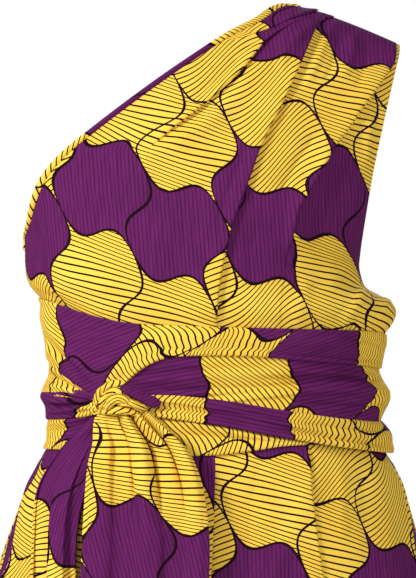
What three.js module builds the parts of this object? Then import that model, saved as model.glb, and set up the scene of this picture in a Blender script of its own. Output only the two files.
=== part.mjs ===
// A one-shoulder wide leg jumpsuit with a sash wound round the waist and tied at the side front.
// Millimetres, +Z up. The front faces -Y and the single shoulder is on the wearer's left, at +X.
// The origin is the underside of the shoulder, in the middle of the shoulder seam.
import * as THREE from 'three';

// Cloth and seams
const WALL = 1.2;
const SASH_WALL = 1.4;
const HALF_GAP = 0.2;
const LAYER_GAP = 0.4;

// Heights that the pieces share
const SHOULDER_TOP_Z = 21;
const SHOULDER_TIP_Z = -21;
const UNDERARM_LEFT_Z = -222;
const UNDERARM_RIGHT_Z = -247;
const WAIST_Z = -385;
const CROTCH_Z = -690;
const HEM_Z = -1430;

// Shoulder seam, seen from the front, and how the chest falls away below it
const SHOULDER_NECK_X = -55;
const SHOULDER_TIP_X = 57;
const SHOULDER_BOW = 3;
const CHEST_FALL = { drop: 300, power: 0.6 };
const BACK_FALL = { drop: 260, power: 0.55 };
const ROUNDNESS = 2.3;

// Half sections of the body of the cloth: its two sides, and how far it stands in front and behind
const TORSO = [
  { z: 25, left: -382, right: 95, front: 120, back: 98 },
  { z: -78, left: -376, right: 82, front: 120, back: 98 },
  { z: -130, left: -362, right: 62, front: 120, back: 98 },
  { z: -182, left: -345, right: 40, front: 120, back: 98 },
  { z: -205, left: -336.5, right: 29, front: 120, back: 98 },
  { z: -222, left: -333.3, right: 21.5, front: 120, back: 98 },
  { z: -247, left: -333, right: 14.6, front: 121, back: 98 },
  { z: -262, left: -331.5, right: 18, front: 122, back: 98 },
  { z: -274, left: -326, right: 29, front: 123, back: 99 },
  { z: -288, left: -315, right: 42, front: 123, back: 100 },
  { z: -300, left: -311, right: 46, front: 121, back: 100 },
  { z: -311, left: -308, right: 41, front: 116, back: 100 },
  { z: -323, left: -305.5, right: 32.5, front: 112.5, back: 100 },
  { z: -345, left: -303, right: 30, front: 111, back: 100 },
  { z: -385, left: -302, right: 29, front: 110, back: 101 },
];
const TROUSERS = [
  { z: -385, left: -302, right: 29, front: 110, back: 101 },
  { z: -430, left: -304, right: 32, front: 112, back: 104 },
  { z: -445, left: -308, right: 37, front: 114, back: 107 },
  { z: -460, left: -320, right: 50, front: 118, back: 114 },
  { z: -480, left: -331, right: 60, front: 121, back: 123 },
  { z: -512, left: -343, right: 70, front: 123, back: 131 },
  { z: -545, left: -355, right: 79, front: 125, back: 135 },
  { z: -580, left: -366, right: 87, front: 126, back: 137 },
  { z: -640, left: -380, right: 100, front: 125, back: 136 },
  { z: -690, left: -389, right: 109, front: 123, back: 132 },
  { z: -800, left: -403, right: 123, front: 121, back: 128 },
  { z: -1000, left: -421, right: 141, front: 123, back: 128 },
  { z: -1200, left: -438, right: 158, front: 130, back: 134 },
  { z: -1430, left: -455, right: 175, front: 138, back: 142 },
];

// Free edges of the bodice, seen from the front
const NECKLINE = [
  { z: -222, x: -333.3 },
  { z: -207, x: -332.6 },
  { z: -182, x: -328 },
  { z: -157, x: -317.5 },
  { z: -132, x: -296 },
  { z: -107, x: -265.5 },
  { z: -82, x: -233 },
  { z: -57, x: -199 },
  { z: -32, x: -163 },
  { z: -7, x: -124.5 },
  { z: 5, x: -101 },
  { z: 12, x: -86.5 },
  { z: 18, x: -71 },
  { z: 21, x: -55 },
];
const ARMHOLE = [
  { z: -247, x: 14.6 },
  { z: -230, x: 16.4 },
  { z: -207, x: 19.8 },
  { z: -157, x: 28 },
  { z: -107, x: 38.5 },
  { z: -57, x: 50 },
  { z: -32, x: 56 },
  { z: -21, x: 57.3 },
];
const BACK_NECK_DROP = 16;
const BACK_ARMHOLE_INSET = 5;

// Rows of the bodice: where each one starts on the left edge and ends on the right edge
const BODICE_ROWS = [
  { left: -384.8, right: -384.8 },
  { left: -345, right: -345 },
  { left: -323, right: -323 },
  { left: -311, right: -311 },
  { left: -300, right: -300 },
  { left: -288, right: -288 },
  { left: -274, right: -274 },
  { left: -250, right: -256 },
  { left: -222, right: -238 },
  { left: -200, right: -211 },
  { left: -172, right: -184 },
  { left: -144, right: -153 },
  { left: -118, right: -126 },
  { left: -91, right: -99 },
  { left: -65, right: -74 },
  { left: -39, right: -53 },
  { left: -16, right: -37 },
  { left: 1, right: -28.5 },
  { left: 12, right: -24 },
  { left: 18.2, right: -22 },
  { left: 21, right: -21 },
];
const FRONT_COLUMNS = 23;
const BACK_COLUMNS = 16;
const FINE_STEPS = 240;

// Pleats and folds of the bodice front, each along a line that starts at the shoulder.
// The cloth stands up on the line, falls over "reach" to its left and over "drop" to its right.
const BODICE_PLEATS = [
  {
    name: 'long pleat',
    line: [[-31, -3], [-59, -67], [-83, -123], [-100, -158], [-119, -212], [-129, -260], [-136, -330]],
    height: 4.5,
    reach: 34,
    drop: 9,
  },
  {
    name: 'armhole pleat',
    line: [[56, -33], [13, -92], [-14, -130], [-34, -165], [-52, -195], [-66, -240]],
    height: 5,
    reach: 30,
    drop: 14,
  },
  {
    name: 'neckline fold',
    line: [[-26, 9], [-63, 3], [-96, -8], [-130, -21], [-165, -42]],
    height: 2.4,
    reach: 18,
    drop: 9,
  },
  {
    name: 'chest fold',
    line: [[-40, -6], [-80, -14], [-112, -40], [-146, -74], [-205, -124], [-245, -150]],
    height: 4.5,
    reach: 12,
    drop: 16,
  },
  {
    name: 'bust fold',
    line: [[20, -150], [0, -200], [-14, -250], [-8, -300]],
    height: 3,
    reach: 16,
    drop: 16,
  },
];
const PLEAT_FADE = 0.12;
const EDGE_CALM = 26;
const SASH_CALM = { from: -318, to: -285 };

// Binding on the neckline
const BINDING_WIDTH = 8.5;
const BINDING_STEPS = 2;

// Legs
const LEG_ROWS_ABOVE = [-385.2, -415, -430, -438, -445, -460, -480, -512, -545, -580];
const CROTCH_START_Z = -590;
const CROTCH_STEPS = 5;
const LEG_ROWS_BELOW = [-735, -800, -880, -970, -1070, -1180, -1300, -1430];
const LEG_COLUMNS = 16;
const LEG_SHAPE = { from: -500, to: -880, inner: 0.5 };
const LEG_PARTING = [
  { z: -585, gap: 0.2 },
  { z: -690, gap: 1.1 },
  { z: -740, gap: 8 },
  { z: -850, gap: 14 },
  { z: -1430, gap: 20 },
];
// Hanging folds of the legs: "at" runs from the inner edge (0) to the side seam (1)
const FRONT_FOLDS = [
  { at: 0.26, width: 0.085, depth: 20 },
  { at: 0.55, width: 0.08, depth: 26 },
  { at: 0.82, width: 0.07, depth: 20 },
];
const BACK_FOLDS = [
  { at: 0.25, width: 0.085, depth: 22 },
  { at: 0.52, width: 0.08, depth: 25 },
  { at: 0.8, width: 0.075, depth: 20 },
];
const FOLD_START_Z = -540;
const LEG_PLEAT = {
  offset: 100, slope: 0.115, height: 3.2, reach: 26, drop: 9,
  start: -432, full: -462, fading: -520, end: -820,
};
const SEAM_CALM = 0.12;
const ALONG_STEP = 0.01;

// Pocket openings in the side fronts, and the facing seen behind each
const POCKET = { top: -440, widest: -560, bottom: -612, cut: 0.085 };
const POCKET_LEAST_CUT = 0.003;

// Sash: the waist it is wound on, and each turn's edges and stand-off by the angle round the body.
// Angles run counter-clockwise from above: 270 is the front, 0 the wearer's left side, 90 the back.
const SASH_COLUMNS = 36;
const SASH_TURNS = [
  {
    name: 'sash_wrap_middle',
    rows: 6,
    standOff: 2.6,
    topStandOff: 2.6,
    ridges: 3,
    ridgeHeight: 3.4,
    edges: [
      { angle: 180, top: -352, bottom: -392 },
      { angle: 220, top: -352, bottom: -398 },
      { angle: 250, top: -345, bottom: -400 },
      { angle: 290, top: -342, bottom: -406 },
      { angle: 330, top: -350, bottom: -415 },
      { angle: 360, top: -352, bottom: -418 },
      { angle: 450, top: -350, bottom: -402 },
    ],
  },
  {
    name: 'sash_wrap_lower',
    rows: 4,
    standOff: 2.6,
    topStandOff: 2.6,
    ridges: 1.5,
    ridgeHeight: 2.4,
    edges: [
      { angle: 180, top: -395, bottom: -441 },
      { angle: 220, top: -401, bottom: -441 },
      { angle: 250, top: -403, bottom: -440 },
      { angle: 290, top: -409, bottom: -437 },
      { angle: 330, top: -418, bottom: -441 },
      { angle: 360, top: -421, bottom: -443 },
      { angle: 450, top: -405, bottom: -441 },
    ],
  },
  {
    name: 'sash_wrap_top',
    rows: 5,
    standOff: 7.8,
    topStandOff: 2.8,
    ridges: 1,
    ridgeHeight: 1.5,
    edges: [
      { angle: 180, top: -284, bottom: -362 },
      { angle: 195, top: -287, bottom: -365 },
      { angle: 222, top: -300, bottom: -366 },
      { angle: 235, top: -309, bottom: -357 },
      { angle: 255, top: -313, bottom: -345 },
      { angle: 275, top: -315, bottom: -344 },
      { angle: 300, top: -317, bottom: -349 },
      { angle: 330, top: -319, bottom: -354 },
      { angle: 360, top: -322, bottom: -358 },
      { angle: 450, top: -314, bottom: -354 },
    ],
  },
  {
    name: 'sash_wrap_crossing',
    rows: 4,
    standOff: 8,
    topStandOff: 8,
    ridges: 1,
    ridgeHeight: 2,
    edges: [
      { angle: 180, top: -378, bottom: -411 },
      { angle: 218, top: -378, bottom: -406 },
      { angle: 235, top: -381, bottom: -404 },
      { angle: 262, top: -386, bottom: -411 },
      { angle: 290, top: -400, bottom: -428 },
      { angle: 320, top: -410, bottom: -440 },
      { angle: 360, top: -412, bottom: -445 },
      { angle: 450, top: -392, bottom: -424 },
    ],
  },
];
const RIDGE_CALM = 0.35;
const FRONT_STEPS = 60;
const FRONT_LEAST_OFF = 28;

// Knot: a roll of cloth bent over the two ends of the sash
const KNOT = {
  x: -236, topZ: -368, halfWidth: 23, legs: 9,
  rollWide: 7, rollDeep: 8, standOff: 22.8, steps: 18, sides: 5,
};

// Ends of the sash: centre line, width, and how far each row stands in front of the cloth behind it
const TAILS = [
  {
    name: 'sash_tail_narrow',
    columns: 8,
    folds: 1.5,
    rows: [
      { x: -246, z: -392, width: 14, standOff: 11.8, fold: 0 },
      { x: -256, z: -412, width: 24, standOff: 13, fold: 1.5 },
      { x: -274, z: -440, width: 42, standOff: 13, fold: 4 },
      { x: -294, z: -480, width: 50, standOff: 13, fold: 6 },
      { x: -302, z: -530, width: 46, standOff: 13.5, fold: 6.5 },
      { x: -303, z: -590, width: 46, standOff: 13.5, fold: 6.5 },
      { x: -303, z: -655, width: 46, standOff: 14, fold: 6.5 },
      { x: -304, z: -695, width: 46, standOff: 15.5, fold: 6.5 },
      { x: -305, z: -740, width: 47, standOff: 15.5, fold: 6.5 },
      { x: -307, z: -820, width: 49, standOff: 17, fold: 6.5 },
      { x: -309, z: -900, width: 51, standOff: 19, fold: 6 },
    ],
  },
  {
    name: 'sash_tail_wide',
    columns: 12,
    folds: 2.5,
    rows: [
      { x: -231, z: -391, width: 24, standOff: 13.5, fold: 0 },
      { x: -228, z: -402, width: 40, standOff: 13.8, fold: 0.3 },
      { x: -222, z: -415, width: 66, standOff: 18, fold: 3 },
      { x: -215, z: -435, width: 94, standOff: 21, fold: 5 },
      { x: -211, z: -458, width: 112, standOff: 22, fold: 5 },
      { x: -208, z: -490, width: 124, standOff: 22, fold: 4 },
      { x: -207, z: -540, width: 132, standOff: 21, fold: 3.5 },
      { x: -209, z: -600, width: 132, standOff: 20, fold: 4 },
      { x: -210, z: -680, width: 132, standOff: 20, fold: 4 },
      { x: -211, z: -770, width: 134, standOff: 21, fold: 5 },
      { x: -212, z: -860, width: 136, standOff: 24, fold: 6 },
      { x: -213, z: -950, width: 138, standOff: 27, fold: 6 },
    ],
  },
];

const YELLOW = 0xe9bb3a;
const PURPLE = 0x68295f;

// Value of one named column of a table at a place along another, by a smooth curve through its rows
function tableValue(table, along, at, column) {
  const rising = table[table.length - 1][along] > table[0][along];
  let k = 0;
  while (k < table.length - 2 && (rising ? at > table[k + 1][along] : at < table[k + 1][along])) k += 1;
  const start = table[k];
  const end = table[k + 1];
  const span = end[along] - start[along];
  const t = THREE.MathUtils.clamp((at - start[along]) / span, 0, 1);
  const slopeAt = (i) => {
    if (i <= 0 || i >= table.length - 1) return (end[column] - start[column]) / span;
    const before = table[i - 1];
    const after = table[i + 1];
    return (after[column] - before[column]) / (after[along] - before[along]);
  };
  const t2 = t * t;
  const t3 = t2 * t;
  return (2 * t3 - 3 * t2 + 1) * start[column] + (t3 - 2 * t2 + t) * span * slopeAt(k)
    + (3 * t2 - 2 * t3) * end[column] + (t3 - t2) * span * slopeAt(k + 1);
}

function smooth(from, to, value) {
  return THREE.MathUtils.smoothstep(value, Math.min(from, to), Math.max(from, to));
}

// Outward directions on a grid of points. Rows run upwards and columns counter-clockwise seen from
// above. A looped grid closes on itself. On the side, shoulder and inseam seams they lie in the
// seam's own plane, so that the edges of two pieces face each other squarely.
function gridNormals(grid, looped) {
  const rows = grid.length;
  const columns = grid[0].length;
  const across = new THREE.Vector3();
  const up = new THREE.Vector3();
  return grid.map((row, r) => row.map((point, c) => {
    const next = looped ? (c + 1) % columns : Math.min(c + 1, columns - 1);
    const last = looped ? (c + columns - 1) % columns : Math.max(c - 1, 0);
    across.subVectors(row[next], row[last]);
    up.subVectors(grid[Math.min(r + 1, rows - 1)][c], grid[Math.max(r - 1, 0)][c]);
    const normal = new THREE.Vector3().crossVectors(across, up);
    if (Math.abs(point.y) < 2 * HALF_GAP) normal.y = 0;
    return normal.normalize();
  }));
}

// Closed wall of cloth, half its thickness on each side of the grid
function wallGeometry(grid, thickness, looped = false) {
  const rows = grid.length;
  const columns = grid[0].length;
  const normals = gridNormals(grid, looped);
  const positions = [];
  for (const side of [0.5, -0.5]) {
    grid.forEach((row, r) => row.forEach((point, c) => {
      const place = point.clone().addScaledVector(normals[r][c], side * thickness);
      positions.push(place.x, place.y, place.z);
    }));
  }
  const inner = rows * columns;
  const at = (r, c) => r * columns + (c % columns);
  const faces = [];
  const quad = (a, b, c, d) => faces.push(a, b, c, a, c, d);
  const lastColumn = looped ? columns : columns - 1;
  for (let r = 0; r < rows - 1; r += 1) {
    for (let c = 0; c < lastColumn; c += 1) {
      quad(at(r, c), at(r, c + 1), at(r + 1, c + 1), at(r + 1, c));
      quad(inner + at(r, c), inner + at(r + 1, c), inner + at(r + 1, c + 1), inner + at(r, c + 1));
    }
    if (!looped) {
      const end = columns - 1;
      quad(at(r, 0), at(r + 1, 0), inner + at(r + 1, 0), inner + at(r, 0));
      quad(at(r, end), inner + at(r, end), inner + at(r + 1, end), at(r + 1, end));
    }
  }
  const top = rows - 1;
  for (let c = 0; c < lastColumn; c += 1) {
    quad(at(0, c), inner + at(0, c), inner + at(0, c + 1), at(0, c + 1));
    quad(at(top, c), at(top, c + 1), inner + at(top, c + 1), inner + at(top, c));
  }
  const geometry = new THREE.BufferGeometry();
  geometry.setAttribute('position', new THREE.Float32BufferAttribute(positions, 3));
  geometry.setIndex(faces);
  geometry.computeVertexNormals();
  return geometry;
}

// Height of the shoulder line above a place across the body
function shoulderLine(x) {
  const t = THREE.MathUtils.clamp((x - SHOULDER_NECK_X) / (SHOULDER_TIP_X - SHOULDER_NECK_X), 0, 1);
  return THREE.MathUtils.lerp(SHOULDER_TOP_Z, SHOULDER_TIP_Z, t) + SHOULDER_BOW * Math.sin(Math.PI * t);
}

// Point of the bodice, in front (side -1) or behind (side 1), from where it is seen from the front
function bodicePoint(x, z, side) {
  const left = tableValue(TORSO, 'z', z, 'left');
  const right = tableValue(TORSO, 'z', z, 'right');
  const depth = tableValue(TORSO, 'z', z, side < 0 ? 'front' : 'back');
  const fall = side < 0 ? CHEST_FALL : BACK_FALL;
  const across = THREE.MathUtils.clamp((x - (left + right) / 2) / ((right - left) / 2), -1, 1);
  const round = (1 - Math.abs(across) ** ROUNDNESS) ** (1 / ROUNDNESS);
  const drop = THREE.MathUtils.clamp((shoulderLine(x) - z) / fall.drop, 0, 1);
  const rise = Math.sin((Math.PI / 2) * drop ** fall.power);
  return new THREE.Vector3(x, side * (HALF_GAP + depth * round * rise), z);
}

// Signed distance from a pleat's line, positive on its right, and the place along it from 0 to 1
function fromLine(line, x, z) {
  let best = { distance: Infinity, along: 0 };
  for (let k = 0; k < line.length - 1; k += 1) {
    const [x0, z0] = line[k];
    const dx = line[k + 1][0] - x0;
    const dz = line[k + 1][1] - z0;
    const t = THREE.MathUtils.clamp(((x - x0) * dx + (z - z0) * dz) / (dx * dx + dz * dz), 0, 1);
    const offX = x - x0 - t * dx;
    const offZ = z - z0 - t * dz;
    const length = Math.hypot(offX, offZ);
    if (length < Math.abs(best.distance)) {
      const sign = Math.sign(dx * offZ - dz * offX) || 1;
      best = { distance: sign * length, along: (k + t) / (line.length - 1) };
    }
  }
  return best;
}

function pleatHeight(pleats, x, z) {
  let height = 0;
  for (const pleat of pleats) {
    const { distance, along } = fromLine(pleat.line, x, z);
    const reach = distance < 0 ? pleat.reach : pleat.drop;
    const fade = smooth(0, PLEAT_FADE, along) * (1 - smooth(1 - 2 * PLEAT_FADE, 1, along));
    height += pleat.height * fade * Math.exp(-((distance / reach) ** 2));
  }
  return height;
}

// Left and right ends of a bodice row; the back's free edges lie a little inside the front's
function bodiceEdge(z, edge, side) {
  const underarm = edge === 'left' ? UNDERARM_LEFT_Z : UNDERARM_RIGHT_Z;
  if (z <= underarm) return { x: tableValue(TORSO, 'z', z, edge), z };
  const free = tableValue(edge === 'left' ? NECKLINE : ARMHOLE, 'z', z, 'x');
  if (side < 0) return { x: free, z };
  const top = edge === 'left' ? SHOULDER_TOP_Z : SHOULDER_TIP_Z;
  const inside = Math.sin(Math.PI * THREE.MathUtils.clamp((z - underarm) / (top - underarm), 0, 1));
  if (edge === 'left') return { x: free, z: z - BACK_NECK_DROP * inside };
  return { x: free - BACK_ARMHOLE_INSET * inside, z };
}

// Places along a row by their distance on the cloth: narrow steps under the binding, then even ones
function spacedAlong(points, columns) {
  const reached = [0];
  for (let k = 1; k < points.length; k += 1) {
    reached.push(reached[k - 1] + points[k].distanceTo(points[k - 1]));
  }
  const total = reached[reached.length - 1];
  const bound = Array.from({ length: BINDING_STEPS }, (unused, k) => (BINDING_WIDTH * k) / BINDING_STEPS);
  const evenSteps = columns - BINDING_STEPS;
  const even = Array.from({ length: evenSteps + 1 },
    (unused, k) => THREE.MathUtils.lerp(BINDING_WIDTH, total, k / evenSteps));
  let k = 0;
  return [...bound, ...even].map((distance) => {
    while (k < points.length - 2 && reached[k + 1] < distance) k += 1;
    const t = (distance - reached[k]) / (reached[k + 1] - reached[k]);
    return points[k].clone().lerp(points[k + 1], THREE.MathUtils.clamp(t, 0, 1));
  });
}

function bodiceGrid(side, columns) {
  return BODICE_ROWS.map((row) => {
    const start = bodiceEdge(row.left, 'left', side);
    const end = bodiceEdge(row.right, 'right', side);
    const onShoulder = row.left === SHOULDER_TOP_Z;
    const fine = [];
    for (let k = 0; k <= FINE_STEPS; k += 1) {
      const t = (1 - Math.cos((Math.PI * k) / FINE_STEPS)) / 2;
      const x = THREE.MathUtils.lerp(start.x, end.x, t);
      const z = onShoulder ? shoulderLine(x) : THREE.MathUtils.lerp(start.z, end.z, t);
      fine.push(bodicePoint(x, z, side));
    }
    const points = spacedAlong(fine, columns);
    if (side > 0) return points.reverse();
    for (const point of points) {
      const { x, z } = point;
      const calm = smooth(0, EDGE_CALM, x - start.x - BINDING_WIDTH) * smooth(0, EDGE_CALM, end.x - x)
        * smooth(SASH_CALM.from, SASH_CALM.to, z) * smooth(0, EDGE_CALM, shoulderLine(x) - z);
      point.y -= pleatHeight(BODICE_PLEATS, x, z) * calm;
    }
    return points;
  });
}

// Binding: the strip of the bodice next to the neckline, moved out from its own points
function bindingGrid(grid, side) {
  const normals = gridNormals(grid, false);
  const from = side < 0 ? 0 : grid[0].length - 1 - BINDING_STEPS;
  return grid.map((row, r) => row.slice(from, from + BINDING_STEPS + 1).map(
    (point, c) => point.clone().addScaledVector(normals[r][from + c], WALL + LAYER_GAP),
  )).filter((row, r) => BODICE_ROWS[r].left >= UNDERARM_LEFT_Z);
}

// Section of the trousers: from the middle (above the crotch) or the inseam (below it) to the side
function legPoint(z, crotchPart, along, leg, side) {
  const left = tableValue(TROUSERS, 'z', z, 'left');
  const right = tableValue(TROUSERS, 'z', z, 'right');
  const depth = tableValue(TROUSERS, 'z', z, side < 0 ? 'front' : 'back');
  const middle = (left + right) / 2;
  const outer = (right - left) / 2;
  const inner = tableValue(LEG_PARTING, 'z', z, 'gap');
  const ease = (value) => Math.sign(value) * Math.abs(value) ** (2 / ROUNDNESS);
  const quarter = (Math.PI / 2) * (1 - along);
  const half = Math.PI * (1 - along);
  const hipX = inner + (outer - inner) * ease(Math.cos(quarter));
  const legX = (inner + outer) / 2 + ((outer - inner) / 2) * ease(Math.cos(half));
  const hipY = depth * ease(Math.sin(quarter));
  const legY = depth * ease(Math.sin(half));
  const outerPart = smooth(LEG_SHAPE.from, LEG_SHAPE.to, LEG_SHAPE.from + LEG_SHAPE.to - z);
  const part = THREE.MathUtils.lerp(crotchPart, outerPart, smooth(0, LEG_SHAPE.inner, along));
  const x = THREE.MathUtils.lerp(hipX, legX, part);
  const y = THREE.MathUtils.lerp(hipY, legY, part);
  return new THREE.Vector3(middle + leg * x, side * (HALF_GAP + y), z);
}

// Part of the crotch's turn that is done at a height
function crotchPartAt(z) {
  const turn = THREE.MathUtils.clamp((CROTCH_START_Z - z) / (CROTCH_START_Z - CROTCH_Z), 0, 1);
  return 1 - Math.sqrt(1 - turn * turn);
}

function legRows() {
  const rows = LEG_ROWS_ABOVE.map((z) => ({ z, crotchPart: 0 }));
  for (let k = 1; k <= CROTCH_STEPS; k += 1) {
    const turn = Math.sin((Math.PI / 2) * (k / CROTCH_STEPS));
    const z = THREE.MathUtils.lerp(CROTCH_START_Z, CROTCH_Z, turn);
    rows.push({ z, crotchPart: crotchPartAt(z) });
  }
  LEG_ROWS_BELOW.forEach((z) => rows.push({ z, crotchPart: 1 }));
  return rows.reverse();
}

function hangingFold(z, along, folds) {
  const grow = smooth(FOLD_START_Z, HEM_Z, z);
  return (1 - grow) * folds.reduce(
    (sum, fold) => sum + fold.depth * Math.exp(-(((along - fold.at) / fold.width) ** 2)), 0);
}

function trousersMiddle(z) {
  return (tableValue(TROUSERS, 'z', z, 'left') + tableValue(TROUSERS, 'z', z, 'right')) / 2;
}

function legPleat(point, z) {
  const { offset, slope, height, reach, drop, start, full, fading, end } = LEG_PLEAT;
  const off = Math.abs(point.x - trousersMiddle(z)) - (offset + slope * (WAIST_Z - z));
  const fade = smooth(end, fading, z) * (1 - smooth(full, start, z));
  return height * fade * Math.exp(-((off / (off < 0 ? reach : drop)) ** 2));
}

// Share of the side front that the pocket opening takes away at a height
function pocketCut(z) {
  if (z > POCKET.top || z < POCKET.bottom) return 0;
  return POCKET.cut * (z > POCKET.widest
    ? smooth(POCKET.top, POCKET.widest, POCKET.top + POCKET.widest - z)
    : smooth(POCKET.bottom, POCKET.widest, z));
}

// Point of a leg piece with its hanging folds and its pleat
function legSurface({ z, crotchPart }, along, leg, side) {
  const point = legPoint(z, crotchPart, along, leg, side);
  const before = legPoint(z, crotchPart, Math.max(along - ALONG_STEP, 0), leg, side);
  const after = legPoint(z, crotchPart, Math.min(along + ALONG_STEP, 1), leg, side);
  const outX = leg * Math.abs(after.y - before.y) * (along < 0.5 * crotchPart ? -1 : 1);
  const outY = side * Math.abs(after.x - before.x);
  const length = Math.hypot(outX, outY);
  const pleat = side < 0 ? legPleat(point, z) * smooth(0, SEAM_CALM, along) : 0;
  const lift = pleat + hangingFold(z, along, side < 0 ? FRONT_FOLDS : BACK_FOLDS);
  point.x += (outX / length) * lift;
  point.y += (outY / length) * lift;
  return point;
}

function legGrid(leg, side) {
  return legRows().map((row) => {
    const reach = side < 0 ? 1 - pocketCut(row.z) : 1;
    const points = [];
    for (let c = 0; c <= LEG_COLUMNS; c += 1) {
      points.push(legSurface(row, (reach * c) / LEG_COLUMNS, leg, side));
    }
    return leg * side < 0 ? points : points.reverse();
  });
}

// Facing behind a pocket opening, from under the side front's last column to the side seam
function pocketFacingGrid(leg) {
  const grid = legRows().filter(({ z }) => pocketCut(z) > POCKET_LEAST_CUT).map((row) => {
    const reach = 1 - pocketCut(row.z);
    const places = [(reach * (LEG_COLUMNS - 1)) / LEG_COLUMNS, reach, (1 + reach) / 2, 1];
    const points = places.map((along) => legSurface(row, along, leg, -1));
    return leg > 0 ? points : points.reverse();
  });
  const normals = gridNormals(grid, false);
  return grid.map((row, r) => row.map(
    (point, c) => point.clone().addScaledVector(normals[r][c], -(WALL + LAYER_GAP))));
}

// Point on the wound waist at an angle, at a stand-off from the cloth under it
function waistPoint(angle, z, standOff) {
  const table = z > WAIST_Z ? TORSO : TROUSERS;
  const left = tableValue(table, 'z', z, 'left');
  const right = tableValue(table, 'z', z, 'right');
  const wide = (right - left) / 2 + standOff;
  const deep = tableValue(table, 'z', z, Math.sin(angle) < 0 ? 'front' : 'back') + standOff;
  const ease = (value) => Math.sign(value) * Math.abs(value) ** (2 / ROUNDNESS);
  const x = (left + right) / 2 + wide * ease(Math.cos(angle));
  return new THREE.Vector3(x, deep * ease(Math.sin(angle)), z);
}

function sashGrid(turn) {
  const edges = [...turn.edges, { ...turn.edges[0], angle: turn.edges[0].angle + 360 }];
  const grid = [];
  for (let r = 0; r <= turn.rows; r += 1) {
    const up = r / turn.rows;
    const calm = smooth(0, RIDGE_CALM, 1 - up);
    const ridge = turn.ridgeHeight * Math.abs(Math.sin(Math.PI * turn.ridges * up)) * calm;
    const standOff = THREE.MathUtils.lerp(turn.topStandOff, turn.standOff, calm) + ridge;
    const points = [];
    for (let c = 0; c < SASH_COLUMNS; c += 1) {
      const degrees = edges[0].angle + (360 * c) / SASH_COLUMNS;
      const bottom = tableValue(edges, 'angle', degrees, 'bottom');
      const top = tableValue(edges, 'angle', degrees, 'top');
      const z = THREE.MathUtils.lerp(bottom, top, up);
      points.push(waistPoint(THREE.MathUtils.degToRad(degrees), z, standOff));
    }
    grid.push(points);
  }
  return grid;
}

// A stand-off in front of the leg's cloth, without its folds, at a place seen from the front
function frontAt(x, z, standOff) {
  const middle = trousersMiddle(z);
  const off = Math.max(Math.abs(x - middle), FRONT_LEAST_OFF);
  let last = null;
  for (let k = 1; k < FRONT_STEPS; k += 1) {
    const before = legPoint(z, crotchPartAt(z), (k - 1) / FRONT_STEPS, 1, -1);
    const after = legPoint(z, crotchPartAt(z), (k + 1) / FRONT_STEPS, 1, -1);
    const length = Math.hypot(after.x - before.x, after.y - before.y);
    const here = {
      off: (before.x + after.x) / 2 - middle + (standOff * (after.y - before.y)) / length,
      y: (before.y + after.y) / 2 - (standOff * (after.x - before.x)) / length,
    };
    if (last !== null && last.off <= off && here.off >= off) {
      return THREE.MathUtils.lerp(last.y, here.y, (off - last.off) / (here.off - last.off));
    }
    last = here;
  }
  return last.y;
}

function tailGrid(tail) {
  return [...tail.rows].reverse().map((row) => {
    const points = [];
    for (let c = 0; c <= tail.columns; c += 1) {
      const across = c / tail.columns - 0.5;
      const x = row.x + row.width * across;
      const fold = row.fold * Math.cos(2 * Math.PI * tail.folds * across);
      points.push(new THREE.Vector3(x, frontAt(x, row.z, row.standOff + fold), row.z));
    }
    return points;
  });
}

// The knot's roll, swept along an arch that stands on the front of the sash
function knotGeometry() {
  const points = [];
  const arch = KNOT.halfWidth - KNOT.rollWide;
  for (let k = 0; k <= KNOT.steps; k += 1) {
    const t = k / KNOT.steps;
    const turn = Math.PI * (1 - t);
    const x = KNOT.x + arch * Math.cos(turn);
    const z = KNOT.topZ - KNOT.rollWide - arch + arch * Math.sin(turn)
      - KNOT.legs * Math.abs(Math.cos(turn)) ** 6;
    points.push(new THREE.Vector3(x, frontAt(x, z, KNOT.standOff), z));
  }
  const path = new THREE.CatmullRomCurve3(points);
  const roll = new THREE.Shape();
  roll.absellipse(0, 0, KNOT.rollDeep, KNOT.rollWide, 0, 2 * Math.PI);
  return new THREE.ExtrudeGeometry(roll, {
    steps: KNOT.steps, curveSegments: KNOT.sides, extrudePath: path, bevelEnabled: false,
  });
}

const jumpsuit = new THREE.Group();

function addPiece(name, geometry, colour) {
  const cloth = new THREE.MeshStandardMaterial({ color: colour, roughness: 0.75, metalness: 0 });
  const piece = new THREE.Mesh(geometry, cloth);
  piece.name = name;
  jumpsuit.add(piece);
}

for (const [name, side, columns] of [['front', -1, FRONT_COLUMNS], ['back', 1, BACK_COLUMNS]]) {
  const grid = bodiceGrid(side, columns);
  addPiece(`bodice_${name}`, wallGeometry(grid, WALL), YELLOW);
  addPiece(`neck_binding_${name}`, wallGeometry(bindingGrid(grid, side), WALL), PURPLE);
}
for (const [name, leg] of [['left', 1], ['right', -1]]) {
  addPiece(`leg_front_${name}`, wallGeometry(legGrid(leg, -1), WALL), YELLOW);
  addPiece(`leg_back_${name}`, wallGeometry(legGrid(leg, 1), WALL), YELLOW);
  addPiece(`pocket_facing_${name}`, wallGeometry(pocketFacingGrid(leg), WALL), PURPLE);
}
for (const turn of SASH_TURNS) {
  addPiece(turn.name, wallGeometry(sashGrid(turn), SASH_WALL, true), PURPLE);
}
for (const tail of TAILS) addPiece(tail.name, wallGeometry(tailGrid(tail), WALL), PURPLE);
addPiece('sash_knot', knotGeometry(), YELLOW);

export default jumpsuit;
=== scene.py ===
import math

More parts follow.
